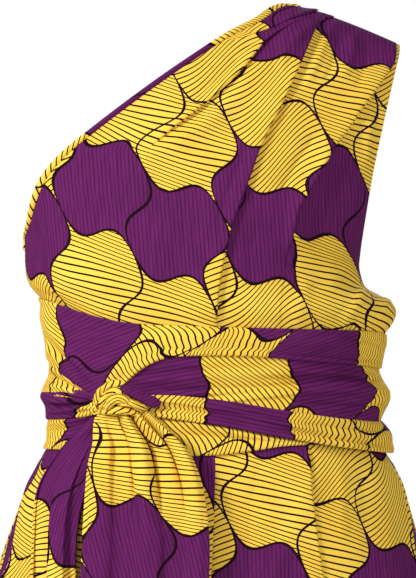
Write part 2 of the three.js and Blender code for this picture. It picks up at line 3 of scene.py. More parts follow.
import bpy
import numpy as np
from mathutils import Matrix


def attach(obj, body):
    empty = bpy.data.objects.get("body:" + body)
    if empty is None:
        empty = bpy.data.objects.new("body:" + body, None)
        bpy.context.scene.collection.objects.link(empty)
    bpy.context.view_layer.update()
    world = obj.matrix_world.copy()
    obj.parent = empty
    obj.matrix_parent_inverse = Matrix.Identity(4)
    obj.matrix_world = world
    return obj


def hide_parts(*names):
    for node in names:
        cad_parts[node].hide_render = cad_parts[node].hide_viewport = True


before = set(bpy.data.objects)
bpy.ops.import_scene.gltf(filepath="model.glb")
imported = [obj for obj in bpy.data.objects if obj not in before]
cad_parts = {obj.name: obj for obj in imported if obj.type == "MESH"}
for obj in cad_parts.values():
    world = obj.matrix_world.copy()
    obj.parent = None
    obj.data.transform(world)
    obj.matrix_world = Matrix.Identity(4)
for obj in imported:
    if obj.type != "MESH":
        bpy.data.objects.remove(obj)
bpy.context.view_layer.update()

MM = 0.001
CLOTH = 0.7
SASH_CLOTH = 0.8
STRAND_CLOTH = 0.5
MERGE_WITHIN = 0.01
SMOOTH_BELOW = 70
TINY = 1e-9
ROUNDNESS = 2.3
WAIST_Z = -385
HEM_Z = -1430

# Half sections of the body of the cloth: height, left and right side, stand-off in front and behind
TORSO = [
    (25, -382, 95, 120, 98), (-78, -376, 82, 120, 98), (-130, -362, 62, 120, 98),
    (-182, -345, 40, 120, 98), (-205, -336.5, 29, 120, 98), (-222, -333.3, 21.5, 120, 98),
    (-247, -333, 14.6, 121, 98), (-262, -331.5, 16.5, 122, 98), (-274, -326, 22, 123, 99),
    (-283, -318, 38, 123, 100), (-291, -313, 49.5, 123, 100), (-300, -311, 53, 121, 100),
    (-311, -308, 49, 116, 100), (-323, -305.5, 40, 112.5, 100), (-336, -303.5, 31, 111.5, 100),
    (-348, -303, 30, 111, 100), (-385, -302, 29, 110, 101),
]
TROUSERS = [
    (-385, -302, 29, 110, 101), (-430, -304, 32, 112, 104), (-445, -313, 42, 114, 107),
    (-460, -320, 50, 118, 114), (-480, -331, 60, 121, 123), (-512, -343, 70, 123, 131),
    (-545, -355, 79, 125, 135), (-580, -366, 87, 126, 137), (-640, -380, 100, 125, 136),
    (-690, -389, 109, 123, 132), (-800, -403, 123, 121, 128), (-1000, -421, 141, 123, 128),
    (-1200, -438, 158, 130, 134), (-1430, -455, 175, 138, 142),
]
LEFT, RIGHT, FRONT, BACK = 1, 2, 3, 4

# Free edges of the bodice and the rows of its cloth, from the left edge's height to the right one's
NECKLINE = [
    (-222, -333.3), (-207, -332.6), (-182, -328), (-157, -317.5), (-132, -296), (-107, -265.5),
    (-82, -233), (-57, -199), (-32, -163), (-7, -124.5), (5, -101), (12, -86.5), (18, -71), (21, -55),
]
ARMHOLE = [
    (-247, 14.6), (-230, 16.4), (-207, 19.8), (-157, 28), (-107, 38.5), (-57, 50), (-32, 56), (-21, 57.3),
]
BODICE_ROWS = [
    (-384.8, -384.8), (-345, -345), (-323, -323), (-311, -311), (-300, -300), (-288, -288), (-274, -274),
    (-250, -256), (-222, -238), (-200, -211), (-172, -184), (-144, -153), (-118, -126), (-91, -99),
    (-65, -74), (-39, -53), (-16, -37), (1, -28.5), (12, -24), (18.2, -22), (21, -21),
]
UNDERARM = (-222, -247)
SHOULDER = {"neck": (-55, 21), "tip": (57, -21), "bow": 3}
CHEST_FALL = (300, 0.6)
BACK_FALL = (260, 0.55)
BACK_NECK_DROP = 16
BACK_ARMHOLE_INSET = 5
BINDING_WIDTH = 8.5
BINDING_STAND = 2.4
BINDING_COLUMNS = 11
BINDING_RISE = (0.5, 1.5)
BINDING_SEAM = {"place": 6.6, "reach": 0.7, "depth": 0.9}
INSET_REACH = 20
EDGE_COLUMNS = (0, 0.5, 1.0, 1.6)
SEAM_DIP = 0.7
SEAM_REACH = 1.1
STITCH_DIP = 0.9
STITCH_REACH = 1.2
ROW_STEP = 2.6
BODICE_DEPTH = 100
PRINT_MIDDLE = -140

# A pressed pleat across its edge: place to the right of the edge, and share of the pleat's height
PLEAT_EDGE = [(-1.6, 1.0), (0.1, 0.94), (0.6, 0.6), (-0.4, 0.34), (-1.4, 0.14), (1.0, 0.02)]
HIDDEN_FROM = 3

# Heights between which a form comes in: none of it at the first and all at the second
BELOW_SHOULDER = (21, -20)
ABOVE_SASH = (-322, -288)
CREASED_FRONT = (-322, -308)
CREASED_BACK = (-318, -288)
CREASED_LEG = (-438, -456)
FRONT_SEAM_DIPS = (-243, -247)
BACK_SEAM_DIPS = (-220, -224)

# Pressed pleats of the bodice front, from the neckline to the armhole. Each has its line from the left or
# from the top, room kept from the one before it and from the armhole, slant against the rows, reach of the
# rise, least height and more, cloth hidden, and the columns on its left
PLEATS = {
    "neck": {
        "line": [(-151, -26), (-131, -21), (-96, -9.5), (-62.5, 3), (-42, 10), (-27, 14)],
        "room": (6, 36), "slant": 1.7, "rise": 9, "least": 0.02, "more": 2.4, "hides": 20, "columns": 20,
    },
    "shoulder": {
        "line": [
            (-205, -130), (-180, -109), (-155, -91), (-121, -62), (-103, -43), (-85, -20), (-69, -7),
            (-48, 4), (-30, 11),
        ],
        "room": (9, 28), "slant": 1.4, "rise": 13, "least": 0.02, "more": 5.4, "hides": 26, "columns": 52,
    },
    "long": {
        "line": [
            (-18, 13), (-31, -3), (-40, -24), (-58, -66), (-72, -95), (-77, -103), (-91, -133), (-99, -157),
            (-109, -183), (-120, -213), (-128, -250), (-132, -275), (-136, -330), (-138, -386),
        ],
        "room": (9, 16), "slant": 1.0, "rise": 26, "least": 1.4, "more": 4.4, "hides": 72, "columns": 52,
    },
    "arm": {
        "line": [
            (57, -19), (55, -33), (32, -67), (12.5, -92), (3, -108), (-15, -130), (-35, -165), (-51, -192),
            (-62, -240), (-68, -300), (-70, -386),
        ],
        "room": (8, 5), "slant": 1.3, "rise": 20, "least": 0.3, "more": 4.4, "hides": 34, "columns": 34,
    },
}
COLUMNS_BY_ARMHOLE = 34
BINDING_EDGE_COLUMNS = 4
NECK_PLEAT_RISES = (7, 20)
NECK_PLEAT_HIDES = (6, 14)
SHOULDER_PLEAT_FOLDS = (-132, -96)
ARM_PLEAT_RISES = (-250, -120)
ARM_PLEAT_HIDES = (-260, -200)
BACK_COLUMNS = 120

# Creases: line, height (a trough when negative), and reach on either side of the line
FRONT_CREASES = [
    ([(-24, 2), (-50, -10), (-70, -24), (-90, -46), (-112, -72), (-140, -100), (-180, -126), (-240, -156)],
     4.8, 7, 12),
    ([(-60, 2), (-80, -6), (-104, -26), (-132, -56), (-170, -86)], -3.4, 5, 5),
    ([(-30, -4), (-48, -14), (-62, -30), (-70, -52)], 3.1, 5, 6),
    ([(-12, 3), (-20, -14), (-28, -34), (-44, -70)], 2.5, 4, 5),
    ([(-4, -6), (-9, -30), (-22, -64)], -2, 3, 4),
    ([(8, -8), (6, -30), (-4, -58)], 2.2, 5, 6),
    ([(24, -14), (22, -40), (10, -72)], -1.8, 4, 5),
    ([(26, -96), (23, -120), (24, -150)], 2.8, 6, 6),
    ([(38, -80), (33, -120), (28, -156)], -2.2, 5, 5),
    ([(12, -110), (8, -140), (8, -172)], -1.7, 5, 5),
    ([(-12, -122), (-36, -165), (-52, -192), (-58, -240)], 5, 6, 10),
    ([(-28, -112), (-50, -146), (-70, -180)], -3.4, 6, 6),
    ([(6, -128), (-14, -164), (-30, -200), (-34, -240)], -3.6, 6, 7),
    ([(20, -150), (2, -205), (-10, -250), (-12, -284)], 3, 12, 13),
    ([(-100, -120), (-112, -150), (-124, -180), (-134, -216)], -3.4, 6, 10),
    ([(-322, -208), (-320, -235), (-315, -256), (-305, -282)], -2.6, 4, 3),
    ([(-180, -190), (-196, -226), (-200, -275)], 2.2, 16, 14),
    ([(-240, -180), (-262, -220), (-268, -278)], -1.8, 12, 12),
    ([(-310, -190), (-296, -230), (-284, -280)], 1.8, 12, 12),
    ([(-290, -160), (-240, -176), (-190, -196)], 1.4, 12, 12),
    ([(-90, -200), (-98, -240), (-96, -282)], -1.6, 8, 8),
    ([(16, -270), (12, -290), (0, -304), (-8, -322)], 3, 2.5, 6),
    ([(34, -272), (28, -292), (12, -308), (2, -322)], -2.4, 3, 3),
    ([(46, -280), (40, -296), (28, -308), (16, -322)], 2.6, 3, 5),
    ([(-40, -262), (-48, -290), (-52, -322)], 2, 5, 7),
    ([(-312, -276), (-300, -290), (-280, -302), (-262, -316)], -2.4, 3, 4),
    ([(-318, -262), (-300, -276), (-270, -290), (-240, -300)], 2.2, 5, 6),
]
BACK_CREASES = [
    ([(40, -24), (0, -80), (-50, -150), (-90, -220)], 2.6, 12, 14),
    ([(10, -8), (-40, -60), (-110, -130), (-170, -210)], 2.4, 12, 12),
    ([(-30, 6), (-90, -30), (-170, -90), (-250, -160)], -2.0, 8, 10),
    ([(26, -110), (10, -160), (-6, -230)], 2.0, 10, 10),
    ([(-280, -170), (-262, -220), (-250, -280)], 2.2, 12, 12),
    ([(-200, -180), (-206, -230), (-200, -285)], -1.6, 10, 10),
    ([(-140, -200), (-142, -240), (-138, -288)], 1.8, 12, 12),
    ([(-70, -220), (-72, -250), (-66, -288)], -1.4, 8, 8),
]
CREASE_FADE = 0.16
CREASE_POWERS = {"ridge": 2, "trough": 1.3}

# Distances from the left end, the right end and the shoulder over which creases come in
CALM_FRONT = (14, 12, 10)
CALM_BACK = (14, 14, 12)
CALM_LEG = (10, 10)
LIFT_COMES_IN = (4, 2)

# Legs
CROTCH_TURN = (-590, -690)
LEG_SHAPE = (-880, -500, 0.5)
LEG_PARTING = [(-585, 0), (-690, 1), (-740, 8), (-850, 14), (-1430, 20)]
FRONT_FOLDS = [(0.26, 0.085, 20), (0.55, 0.08, 26), (0.82, 0.07, 20)]
BACK_FOLDS = [(0.25, 0.085, 22), (0.52, 0.08, 25), (0.8, 0.075, 20)]
FOLD_START_Z = -540
POCKET = {"top": -440, "widest": -560, "bottom": -612, "cut": {1: 0.19, -1: 0.21}, "roll": 1.3, "stitch": 6}
POCKET_ROLL_REACH = 4
POCKET_OPEN = (0.001, 0.012)
FACING = {"least_cut": 0.003, "starts": 15 / 16, "columns": 14, "behind": 1.6}
LEG_PLEAT = {
    "line": [(-385, 94), (-436, 96.5), (-485, 99.5), (-536, 108), (-580, 116), (-1430, 206)],
    "room": (40, 12), "slant": 1.0, "rise": 24, "least": 0.3, "more": 2.6, "hides": 26, "columns": (66, 36),
    "opens": (-900, -560), "shows": (-425, -455),
}
LEG_BACK_COLUMNS = 76
LEG_ROWS = {"top": -385.2, "fine": 2.8, "fine_until": -625, "gap": 7, "coarse": 9, "over_stitch": 5}
LEG_PRINT_OFF = 75
HEM_STITCH = 24
HEM_DIP = 0.5
ROWS_BY_STITCH = (3, 1.2, 0, -1.2, -3)
ROWS_BY_HEM = (9, 2, 0)
CREASES_OFF = {"front": 140, "back": 120}
LEG_FRONT_CREASES = [
    ([(-30, -448), (-48, -500), (-70, -560), (-86, -640)], 1.6, 10, 10),
    ([(8, -450), (16, -500), (24, -560), (30, -640)], -1.6, 8, 8),
    ([(24, -448), (40, -500), (50, -560), (56, -660)], 1.8, 10, 10),
    ([(-92, -446), (-102, -500), (-104, -570), (-104, -640)], -1.4, 7, 7),
    ([(-12, -448), (-8, -490), (-6, -540)], 1.2, 6, 6),
]

# Turns of the sash: stand-offs at the middle and the top edge, and the least stand-off on what is under it;
# rows of cloth; place, turn and length all round on the print, which meets itself again; bulges (angle,
# spread, height, half height, stand-off); edges by angle (180 the wearer's right, 270 the front, 360 the
# wearer's left, 450 the back, from 176 all round to 536); and creases as seen from the front
SASH = {
    "middle": {
        "stand": (5.4, 4.2), "rest": 1.6, "rows": 60, "shift": (90, 70), "turn": 1.4778, "around": 934.9,
        "bulges": [(352, 30, -387, 18, 13), (180, 30, -382, 12, 8)],
        "edges": [
            (176, -336, -392), (200, -342, -394), (220, -350, -398), (250, -345, -400), (290, -342, -406),
            (330, -350, -415), (360, -352, -418), (450, -346, -402), (536, -336, -392),
        ],
        "creases": [
            ([(-226, -366), (-160, -359), (-120, -357), (-70, -357)], -4.2, 1.8, 5),
            ([(-226, -371), (-150, -365), (-90, -362), (-40, -364)], 2.6, 5, 2),
            ([(-206, -381), (-150, -379), (-115, -378), (-68, -375), (-20, -370)], -4.4, 1.8, 4.5),
            ([(-216, -388), (-160, -388), (-110, -383), (-70, -376), (-30, -369), (16, -366)],
             -3.6, 3.6, 1.8),
            ([(-140, -392), (-100, -388), (-50, -382), (10, -380), (44, -384)], 3.0, 1.8, 7),
            ([(-96, -368), (-50, -367), (-10, -368), (30, -372), (46, -378)], -4.4, 1.8, 4.5),
            ([(-96, -361), (-50, -360), (0, -362), (34, -368)], 2.6, 4, 1.8),
            ([(-60, -394), (-16, -394), (16, -396), (44, -400)], -3.4, 1.8, 5),
            ([(-304, -346), (-286, -358), (-270, -372), (-256, -384)], -3.0, 1.8, 3),
            ([(-305, -354), (-288, -364), (-270, -376), (-256, -386)], 2.6, 3, 2),
            ([(-306, -362), (-288, -371), (-270, -380), (-256, -388)], -3.0, 1.8, 2.6),
            ([(-306, -372), (-286, -377), (-270, -384), (-256, -389)], 2.4, 3, 1.6),
        ],
    },
    "lower": {
        "stand": (4.8, 3.4), "rest": 1.6, "rows": 44, "shift": (120, 20), "turn": 1.4778, "around": 934.9,
        "bulges": [(352, 26, -433, 8, 6), (180, 26, -420, 14, 3)],
        "edges": [
            (176, -395, -441), (220, -401, -442), (250, -403, -447), (268, -405, -447), (280, -407, -442),
            (292, -409, -437), (310, -414, -436), (330, -418, -439), (360, -421, -443), (450, -405, -441),
            (536, -395, -441),
        ],
        "creases": [
            ([(-306, -414), (-286, -412), (-266, -408), (-250, -403)], 2.4, 4, 1.8),
            ([(-306, -424), (-288, -421), (-268, -415), (-252, -407)], -2.8, 1.8, 3.4),
            ([(-300, -436), (-280, -431), (-262, -422), (-250, -412)], 2.0, 5, 2),
            ([(-190, -404), (-130, -414), (-90, -424), (-40, -433)], -4.0, 1.8, 4.4),
            ([(-180, -410), (-125, -421), (-80, -430), (-20, -437)], 2.6, 4, 1.6),
            ([(-180, -424), (-120, -430), (-60, -434), (10, -437)], -3.4, 1.8, 4),
        ],
    },
    "top": {
        "stand": (8.4, 3.4), "rest": 1.6, "rows": 64, "shift": (200, 66), "turn": 1.3014, "around": 963.3,
        "bulges": [(356, 30, -336, 12, 3)],
        "edges": [
            (176, -284, -344), (195, -287, -354), (210, -293, -368), (222, -300, -381), (230, -305, -388),
            (238, -309, -379), (248, -312, -357), (257, -313, -346), (275, -315, -344), (300, -317, -349),
            (330, -319, -354), (360, -322, -358), (450, -314, -354), (536, -284, -344),
        ],
        "creases": [
            ([(-271, -326), (-240, -330), (-200, -334), (-151, -338.5)], -1.5, 1.0, 1.3),
            ([(-306, -308), (-290, -328), (-268, -352), (-250, -376)], 3.0, 6, 2.4),
            ([(-308, -320), (-294, -338), (-274, -358), (-254, -380)], -3.0, 2, 4),
            ([(-307, -330), (-292, -347), (-274, -364), (-257, -382)], 2.4, 4, 2),
            ([(-250, -320), (-232, -340), (-226, -362), (-236, -380)], -2.4, 4, 6),
            ([(-170, -322), (-100, -328), (-30, -332), (20, -336)], 1.6, 7, 5),
            ([(-80, -343), (-30, -346), (0, -348), (34, -352)], -2.6, 1.6, 4),
            ([(-10, -326), (16, -330), (36, -340), (46, -350)], -2.0, 2, 4),
        ],
    },
    "crossing": {
        "stand": (9.4, 8.6), "rest": 6.6, "rows": 44, "shift": (90, 130), "turn": 1.8341, "around": 968.9,
        "bulges": [(356, 30, -428, 12, 8), (182, 24, -386, 8, 6), (230, 12, -394, 12, 3)],
        "edges": [
            (176, -378, -411), (218, -380, -408), (235, -385, -404), (262, -386, -411),
            (290, -400, -428), (320, -410, -440), (360, -412, -445), (450, -392, -424), (536, -378, -411),
        ],
        "creases": [
            ([(-216, -388), (-170, -392), (-125, -400), (-80, -412), (-20, -424)], 3.2, 2, 6),
            ([(-222, -392), (-180, -399), (-140, -406), (-95, -418)], -4.2, 1.8, 3.6),
            ([(-140, -395), (-90, -406), (-50, -414), (0, -421), (34, -423)], -3.6, 1.8, 4),
            ([(-90, -416), (-20, -430), (14, -436), (36, -439)], -3.6, 1.8, 3.6),
            ([(-298, -385), (-282, -387), (-266, -389), (-254, -390)], -3.4, 1.5, 2.4),
            ([(-300, -391), (-284, -392), (-266, -392), (-254, -392)], 2.8, 2.4, 1.6),
            ([(-302, -396), (-286, -396), (-266, -395), (-254, -394)], -3.4, 1.5, 2.4),
            ([(-302, -403), (-286, -401), (-268, -399), (-254, -397)], 2.6, 2.4, 1.6),
            ([(-300, -407), (-282, -406), (-268, -403), (-256, -400)], -2.8, 1.5, 2),
        ],
    },
}
SASH_ANGLES = (176, 364, 536)
SASH_COLUMNS = (214, 90)
SASH_BACK_CREASES = [(-0.32, 0.25, 1.6), (0.1, -0.2, -1.8), (0.34, 0.1, 1.4)]
SASH_BACK_REACH = 5
SASH_BACK_POWER = 1.5
FRONT_TO_SIDE = 0.25
TOP_EDGE_FROM = 0.6
EDGE_ROLL = 2.6
EDGE_DROP = 0.8
EDGE_CALM = 5
TAIL_HEM = 5.5
TAIL_HEM_REACH = 2
TAIL_SWAY = (0.5, 70)
TAIL_GATHERS = (4, 26)
TAIL_FOLD = 6
TAIL_EVEN_WITHIN = 0.44
LEG_INNER = 28

# Hanging ends of the sash: folds across and how far they lean; heights between which their ridges fade in;
# place and turn on the print; ridges (place and half width as shares of the width, height); and rows
# (height, place, width, stand-off, fold height)
TAILS = {
    "narrow": {
        "columns": 56, "folds": 1.5, "lean": 3.5, "fade": (-640, -520), "shift": (59, 216), "turn": 0.3,
        "ridges": [(-0.3, 0.09, 4), (0.02, 0.07, -4), (0.3, 0.1, 4)],
        "rows": [
            (-392, -246, 14, 11.8, 0), (-412, -256, 24, 13, 1.5), (-440, -274, 42, 13, 4),
            (-480, -294, 50, 13, 6), (-530, -302, 46, 13.5, 6.5), (-590, -303, 46, 13.5, 6.5),
            (-655, -303, 46, 14, 6.5), (-695, -304, 46, 15.5, 6.5), (-740, -305, 47, 15.5, 6.5),
            (-820, -307, 49, 17, 6.5), (-900, -309, 51, 19, 6),
        ],
    },
    "wide": {
        "columns": 96, "folds": 2.5, "lean": 4, "fade": (-540, -440), "shift": (0, 323), "turn": -0.2,
        "ridges": [(-0.1, 0.032, -8.5), (0.01, 0.045, 8), (0.12, 0.032, -8.5), (0.23, 0.05, 9),
                   (0.335, 0.03, -8), (0.43, 0.04, 5)],
        "rows": [
            (-391, -237, 34, 13.5, 0), (-402, -231, 54, 15, 0.6), (-415, -225, 72, 18, 2),
            (-435, -215, 94, 21, 5), (-458, -211, 112, 22, 5), (-490, -208, 124, 22, 4),
            (-540, -207, 132, 21, 3.5), (-600, -209, 132, 20, 4), (-680, -210, 132, 20, 4),
            (-770, -211, 134, 21, 5), (-860, -212, 136, 24, 6), (-950, -213, 138, 27, 6),
        ],
    },
}

# Strands of cloth in the knot: points (x, z, stand-off), half width, half depth, twist in turns and place
# on the print
KNOT_STRANDS = [
    ([(-258, -397, 15), (-256, -386, 19), (-250, -378, 22), (-241, -374, 24), (-232, -374, 23),
      (-226, -379, 20)], 4.0, 4.2, 0.7, (-2, 94)),
    ([(-253, -399, 18), (-250, -389, 23), (-243, -382, 26), (-235, -380, 26), (-228, -384, 23)],
     3.8, 4.0, -0.6, (-2, 47)),
    ([(-248, -401, 20), (-244, -393, 26), (-237, -388, 28), (-229, -389, 27), (-222, -395, 23)],
     4.8, 3.8, 0.5, (-2, 149)),
    ([(-240, -379, 21), (-228, -379, 25), (-216, -384, 23), (-204, -390, 18), (-192, -394, 13)],
     5.2, 3.4, 0.3, (-2, 90)),
    ([(-236, -393, 24), (-227, -392, 26), (-217, -395, 23), (-207, -399, 17)], 4.0, 3.2, -0.4, (-2, 251)),
    ([(-256, -402, 15), (-246, -401, 21), (-234, -400, 24), (-222, -402, 20), (-214, -405, 15)],
     3.6, 3.4, 0.6, (-2, 107)),
]
STRAND_GATHERS = [(3, 1, 0.13), (5, -1, 0.07)]
STRAND_ENDS = {"narrow": 0.55, "reach": 0.3}
STRAND_PRINT = {"across": 1.4, "wave": 3}


def smooth(low, high, value):
    """0 at low, 1 at high, with an even start and end."""
    part = np.clip((value - low) / (high - low), 0, 1)
    return part * part * (3 - 2 * part)


def curve_value(table, at, column=1):
    """Smooth curve through one column of a table over its first column, held level beyond the ends."""
    rows = np.array(sorted(row[:column + 1] for row in table), float)
    places, values = rows[:, 0], rows[:, column]
    slopes = np.empty(len(rows))
    slopes[1:-1] = (values[2:] - values[:-2]) / (places[2:] - places[:-2])
    slopes[0] = (values[1] - values[0]) / (places[1] - places[0])
    slopes[-1] = (values[-1] - values[-2]) / (places[-1] - places[-2])
    at = np.asarray(at, float)
    k = np.clip(np.searchsorted(places, at) - 1, 0, len(rows) - 2)
    span = places[k + 1] - places[k]
    t = np.clip((at - places[k]) / span, 0, 1)
    t2, t3 = t * t, t * t * t
    return ((2 * t3 - 3 * t2 + 1) * values[k] + (t3 - 2 * t2 + t) * span * slopes[k]
            + (3 * t2 - 2 * t3) * values[k + 1] + (t3 - t2) * span * slopes[k + 1])


def line_distance(line, x, z):
    """Signed distance from a line, positive on the right going down it, and the part of it passed."""
    best = np.full(x.shape, 1e6)
    along = np.zeros(x.shape)
    for k in range(len(line) - 1):
        (x0, z0), (x1, z1) = line[k], line[k + 1]
        dx, dz = x1 - x0, z1 - z0
        t = np.clip(((x - x0) * dx + (z - z0) * dz) / (dx * dx + dz * dz), 0, 1)
        off_x, off_z = x - x0 - t * dx, z - z0 - t * dz
        length = np.hypot(off_x, off_z)
        closer = length < np.abs(best)
        side = np.where(dx * off_z - dz * off_x < 0, -1.0, 1.0)
        best = np.where(closer, side * length, best)
        along = np.where(closer, (k + t) / (len(line) - 1), along)
    return best, along


def crease_lift(creases, x, z):
    """Height that creases add at each place: rounded ridges, and troughs with a sharper bottom."""
    lift = np.zeros(x.shape)
    for line, height, minus, plus in creases:
        distance, along = line_distance(line, x, z)
        reach = np.where(distance < 0, minus, plus)
        fade = smooth(0, CREASE_FADE, along) * smooth(1, 1 - CREASE_FADE, along)
        power = CREASE_POWERS["ridge" if height > 0 else "trough"]
        lift += height * fade * np.exp(-(np.abs(distance) / reach) ** power)
    return lift


def grid_normals(points, looped=False):
    """Outward directions on rows that run upwards, with columns counter-clockwise from above."""
    if looped:
        wide = np.concatenate([points[:, -2:-1], points, points[:, 1:2]], axis=1)
        across = wide[:, 2:] - wide[:, :-2]
    else:
        across = np.gradient(points, axis=1)
    normals = np.cross(across, np.gradient(points, axis=0))
    return normals / np.maximum(np.linalg.norm(normals, axis=2, keepdims=True), TINY)


def lengths_along(points):
    """Distance along each row from its first point."""
    steps = np.linalg.norm(np.diff(points, axis=1), axis=2)
    return np.concatenate([np.zeros((len(points), 1)), np.cumsum(steps, axis=1)], axis=1)


def at_lengths(values, lengths, wanted):
    """Rows of values, read at wanted distances along each row."""
    out = np.empty((*wanted.shape, values.shape[2]))
    for r in range(len(values)):
        for axis in range(values.shape[2]):
            out[r, :, axis] = np.interp(wanted[r], lengths[r], values[r, :, axis])
    return out


def crossing_lengths(points, lengths, side_of):
    """Where each row crosses from the minus to the plus side of a line, or its start where it doesn't."""
    sides = side_of(points[:, :, 0], points[:, :, 2])
    found = np.zeros(len(points))
    for r, row in enumerate(sides):
        k = int(np.argmax(row > 0))
        if k > 0:
            part = row[k - 1] / (row[k - 1] - row[k])
            found[r] = lengths[r, k - 1] + part * (lengths[r, k] - lengths[r, k - 1])
        elif row[0] <= 0:
            found[r] = lengths[r, -1]
    return found


def pleated_columns(start, end, pleats, counts):
    """Places along each row, with fine columns over every pleat's edge, and each column's lift and
    hidden cloth. A pleat is its place, height, rise, hidden cloth and slant against the row."""
    places = [start + offset for offset in EDGE_COLUMNS[:-1]]
    edges = [None] * len(places)
    low = start + EDGE_COLUMNS[-1]
    for pleat, count in zip(pleats, counts):
        high = pleat["place"] + PLEAT_EDGE[0][0] * pleat["slant"]
        places += [low + (high - low) * k / count for k in range(count)]
        edges += [None] * count
        for k, (offset, share) in enumerate(PLEAT_EDGE):
            places.append(pleat["place"] + offset * pleat["slant"])
            edges.append((pleat, k, share))
        low = places.pop()
        edges.pop()
    count = counts[-1]
    high = end - EDGE_COLUMNS[-1]
    places += [low + (high - low) * k / count for k in range(count)]
    places += [end - offset for offset in EDGE_COLUMNS[::-1]]
    edges += [None] * (count + len(EDGE_COLUMNS))
    places = np.stack(places, axis=1)
    lift = np.zeros(places.shape)
    hidden = np.zeros(places.shape)
    for pleat in pleats:
        first = next(c for c, edge in enumerate(edges) if edge and edge[0] is pleat)
        distance = pleat["place"][:, None] - places[:, :first]
        lift[:, :first] += pleat["height"][:, None] * np.exp(-(distance / pleat["rise"]) ** 2)
        for c, edge in enumerate(edges):
            if edge and edge[0] is pleat:
                lift[:, c] += pleat["height"] * edge[2]
        hidden[:, first + HIDDEN_FROM:] += pleat["hides"][:, None]
    return places, lift, hidden


def even_columns(end, count):
    """Places along each row, even but for the fine ones at both ends."""
    inner = np.linspace(EDGE_COLUMNS[-1], end - EDGE_COLUMNS[-1], count, axis=1)
    first = np.broadcast_to(EDGE_COLUMNS[:-1], (len(end), len(EDGE_COLUMNS) - 1))
    return np.concatenate([first, inner, end[:, None] - first[:, ::-1]], axis=1)


def seam_dip(places, end):
    """Lift of a row towards the seams at its two ends."""
    return -SEAM_DIP * (np.exp(-(places / SEAM_REACH) ** 2) + np.exp(-((end - places) / SEAM_REACH) ** 2))


def away_from_ends(places, end, first, last):
    """0 at both ends of a row and 1 from given distances inwards."""
    return smooth(0, first, places) * smooth(0, last, end[:, None] - places)


def dip(off, depth, reach):
    """Narrow dent along a line of stitches or a seam, at a distance off it."""
    return -depth * np.exp(-(off / reach) ** 2)


def below_slope(line):
    """Side of a slanted line that is given from the left: positive below it."""
    across, up = np.transpose(line)
    return lambda x, z: np.interp(x, across, up, left=-400) - z


def right_of(line):
    """Side of a hanging line that is given from the top: positive on its right."""
    across, up = np.transpose(line[::-1])
    return lambda x, z: x - np.interp(z, up, across)


def shoulder_line(x):
    (x0, z0), (x1, z1) = SHOULDER["neck"], SHOULDER["tip"]
    t = np.clip((x - x0) / (x1 - x0), 0, 1)
    return z0 + (z1 - z0) * t + SHOULDER["bow"] * np.sin(np.pi * t)


def bodice_y(x, z, side):
    """How far the bodice stands in front (side -1) or behind (side 1)."""
    left, right = curve_value(TORSO, z, LEFT), curve_value(TORSO, z, RIGHT)
    depth = curve_value(TORSO, z, FRONT if side < 0 else BACK)
    fall, power = CHEST_FALL if side < 0 else BACK_FALL
    across = np.clip((x - (left + right) / 2) / ((right - left) / 2), -1, 1)
    rounded = (1 - np.abs(across) ** ROUNDNESS) ** (1 / ROUNDNESS)
    drop = np.clip((shoulder_line(x) - z) / fall, 0, 1)
    return side * depth * rounded * np.sin(np.pi / 2 * drop ** power)


def bodice_edge(z, edge, side):
    """Left (0) or right (1) end of a bodice row; the back's free edges lie inside the front's."""
    if z <= UNDERARM[edge]:
        return float(curve_value(TORSO, z, LEFT + edge)), z
    free = float(curve_value(ARMHOLE if edge else NECKLINE, z))
    if not edge:
        lean = float(curve_value(NECKLINE, z + 1) - curve_value(NECKLINE, z - 1)) / 2
        inset = BINDING_STAND * float(smooth(UNDERARM[0], UNDERARM[0] + INSET_REACH, z)) / math.hypot(1, lean)
        free, z = free + inset, z - inset * lean
    if side < 0:
        return free, z
    top = SHOULDER["tip" if edge else "neck"][1]
    inside = math.sin(math.pi * min(max((z - UNDERARM[edge]) / (top - UNDERARM[edge]), 0), 1))
    return (free - BACK_ARMHOLE_INSET * inside, z) if edge else (free, z - BACK_NECK_DROP * inside)


def bodice_base(side, count=420):
    """Smooth surface of one side of the bodice: rows of points from the left edge to the right one."""
    ends = np.array(BODICE_ROWS, float)
    passed = np.concatenate([[0], np.cumsum(np.abs(np.diff(ends, axis=0)).max(axis=1))])
    steps = np.linspace(0, passed[-1], int(passed[-1] / ROW_STEP) + 1)
    t = (1 - np.cos(np.pi * np.linspace(0, 1, count))) / 2
    rows = []
    for step in steps:
        left_z = float(np.interp(step, passed, ends[:, 0]))
        right_z = float(np.interp(step, passed, ends[:, 1]))
        (x0, z0), (x1, z1) = bodice_edge(left_z, 0, side), bodice_edge(right_z, 1, side)
        x = x0 + (x1 - x0) * t
        z = z0 + (z1 - z0) * t
        near_seam = smooth(0, SHOULDER["neck"][1], left_z)
        z = z + (shoulder_line(x) - z) * near_seam ** 3
        rows.append(np.stack([x, bodice_y(x, z, side), z], axis=1))
    return np.array(rows)


def flat_height(x, z, side):
    """Height on the flat cloth of places on the bodice, which lengthens where the shoulder slopes."""
    fall, power = CHEST_FALL if side < 0 else BACK_FALL
    part = np.linspace(0, 1, 200)
    depth = BODICE_DEPTH * np.sin(np.pi / 2 * part ** power)
    passed = np.concatenate([[0], np.cumsum(np.hypot(fall * np.diff(part), np.diff(depth)))])
    top = shoulder_line(x)
    drop = (top - z) / fall
    sloping = top - np.interp(drop, part, passed)
    return np.where(drop < 1, sloping, z + fall - passed[-1])


def flat_across(base, lengths, places, side):
    """Level distance of places from the middle of the cloth."""
    level = lengths_along(base * [1, 1, 0])
    middle = crossing_lengths(base, lengths, lambda x, z: side * (PRINT_MIDDLE - x))
    beside = np.maximum(side * (PRINT_MIDDLE - base[:, 0, 0]), 0)
    at = at_lengths(level[:, :, None], lengths, np.concatenate([places, middle[:, None]], axis=1))[:, :, 0]
    return at[:, :-1] - at[:, -1:] + beside[:, None]


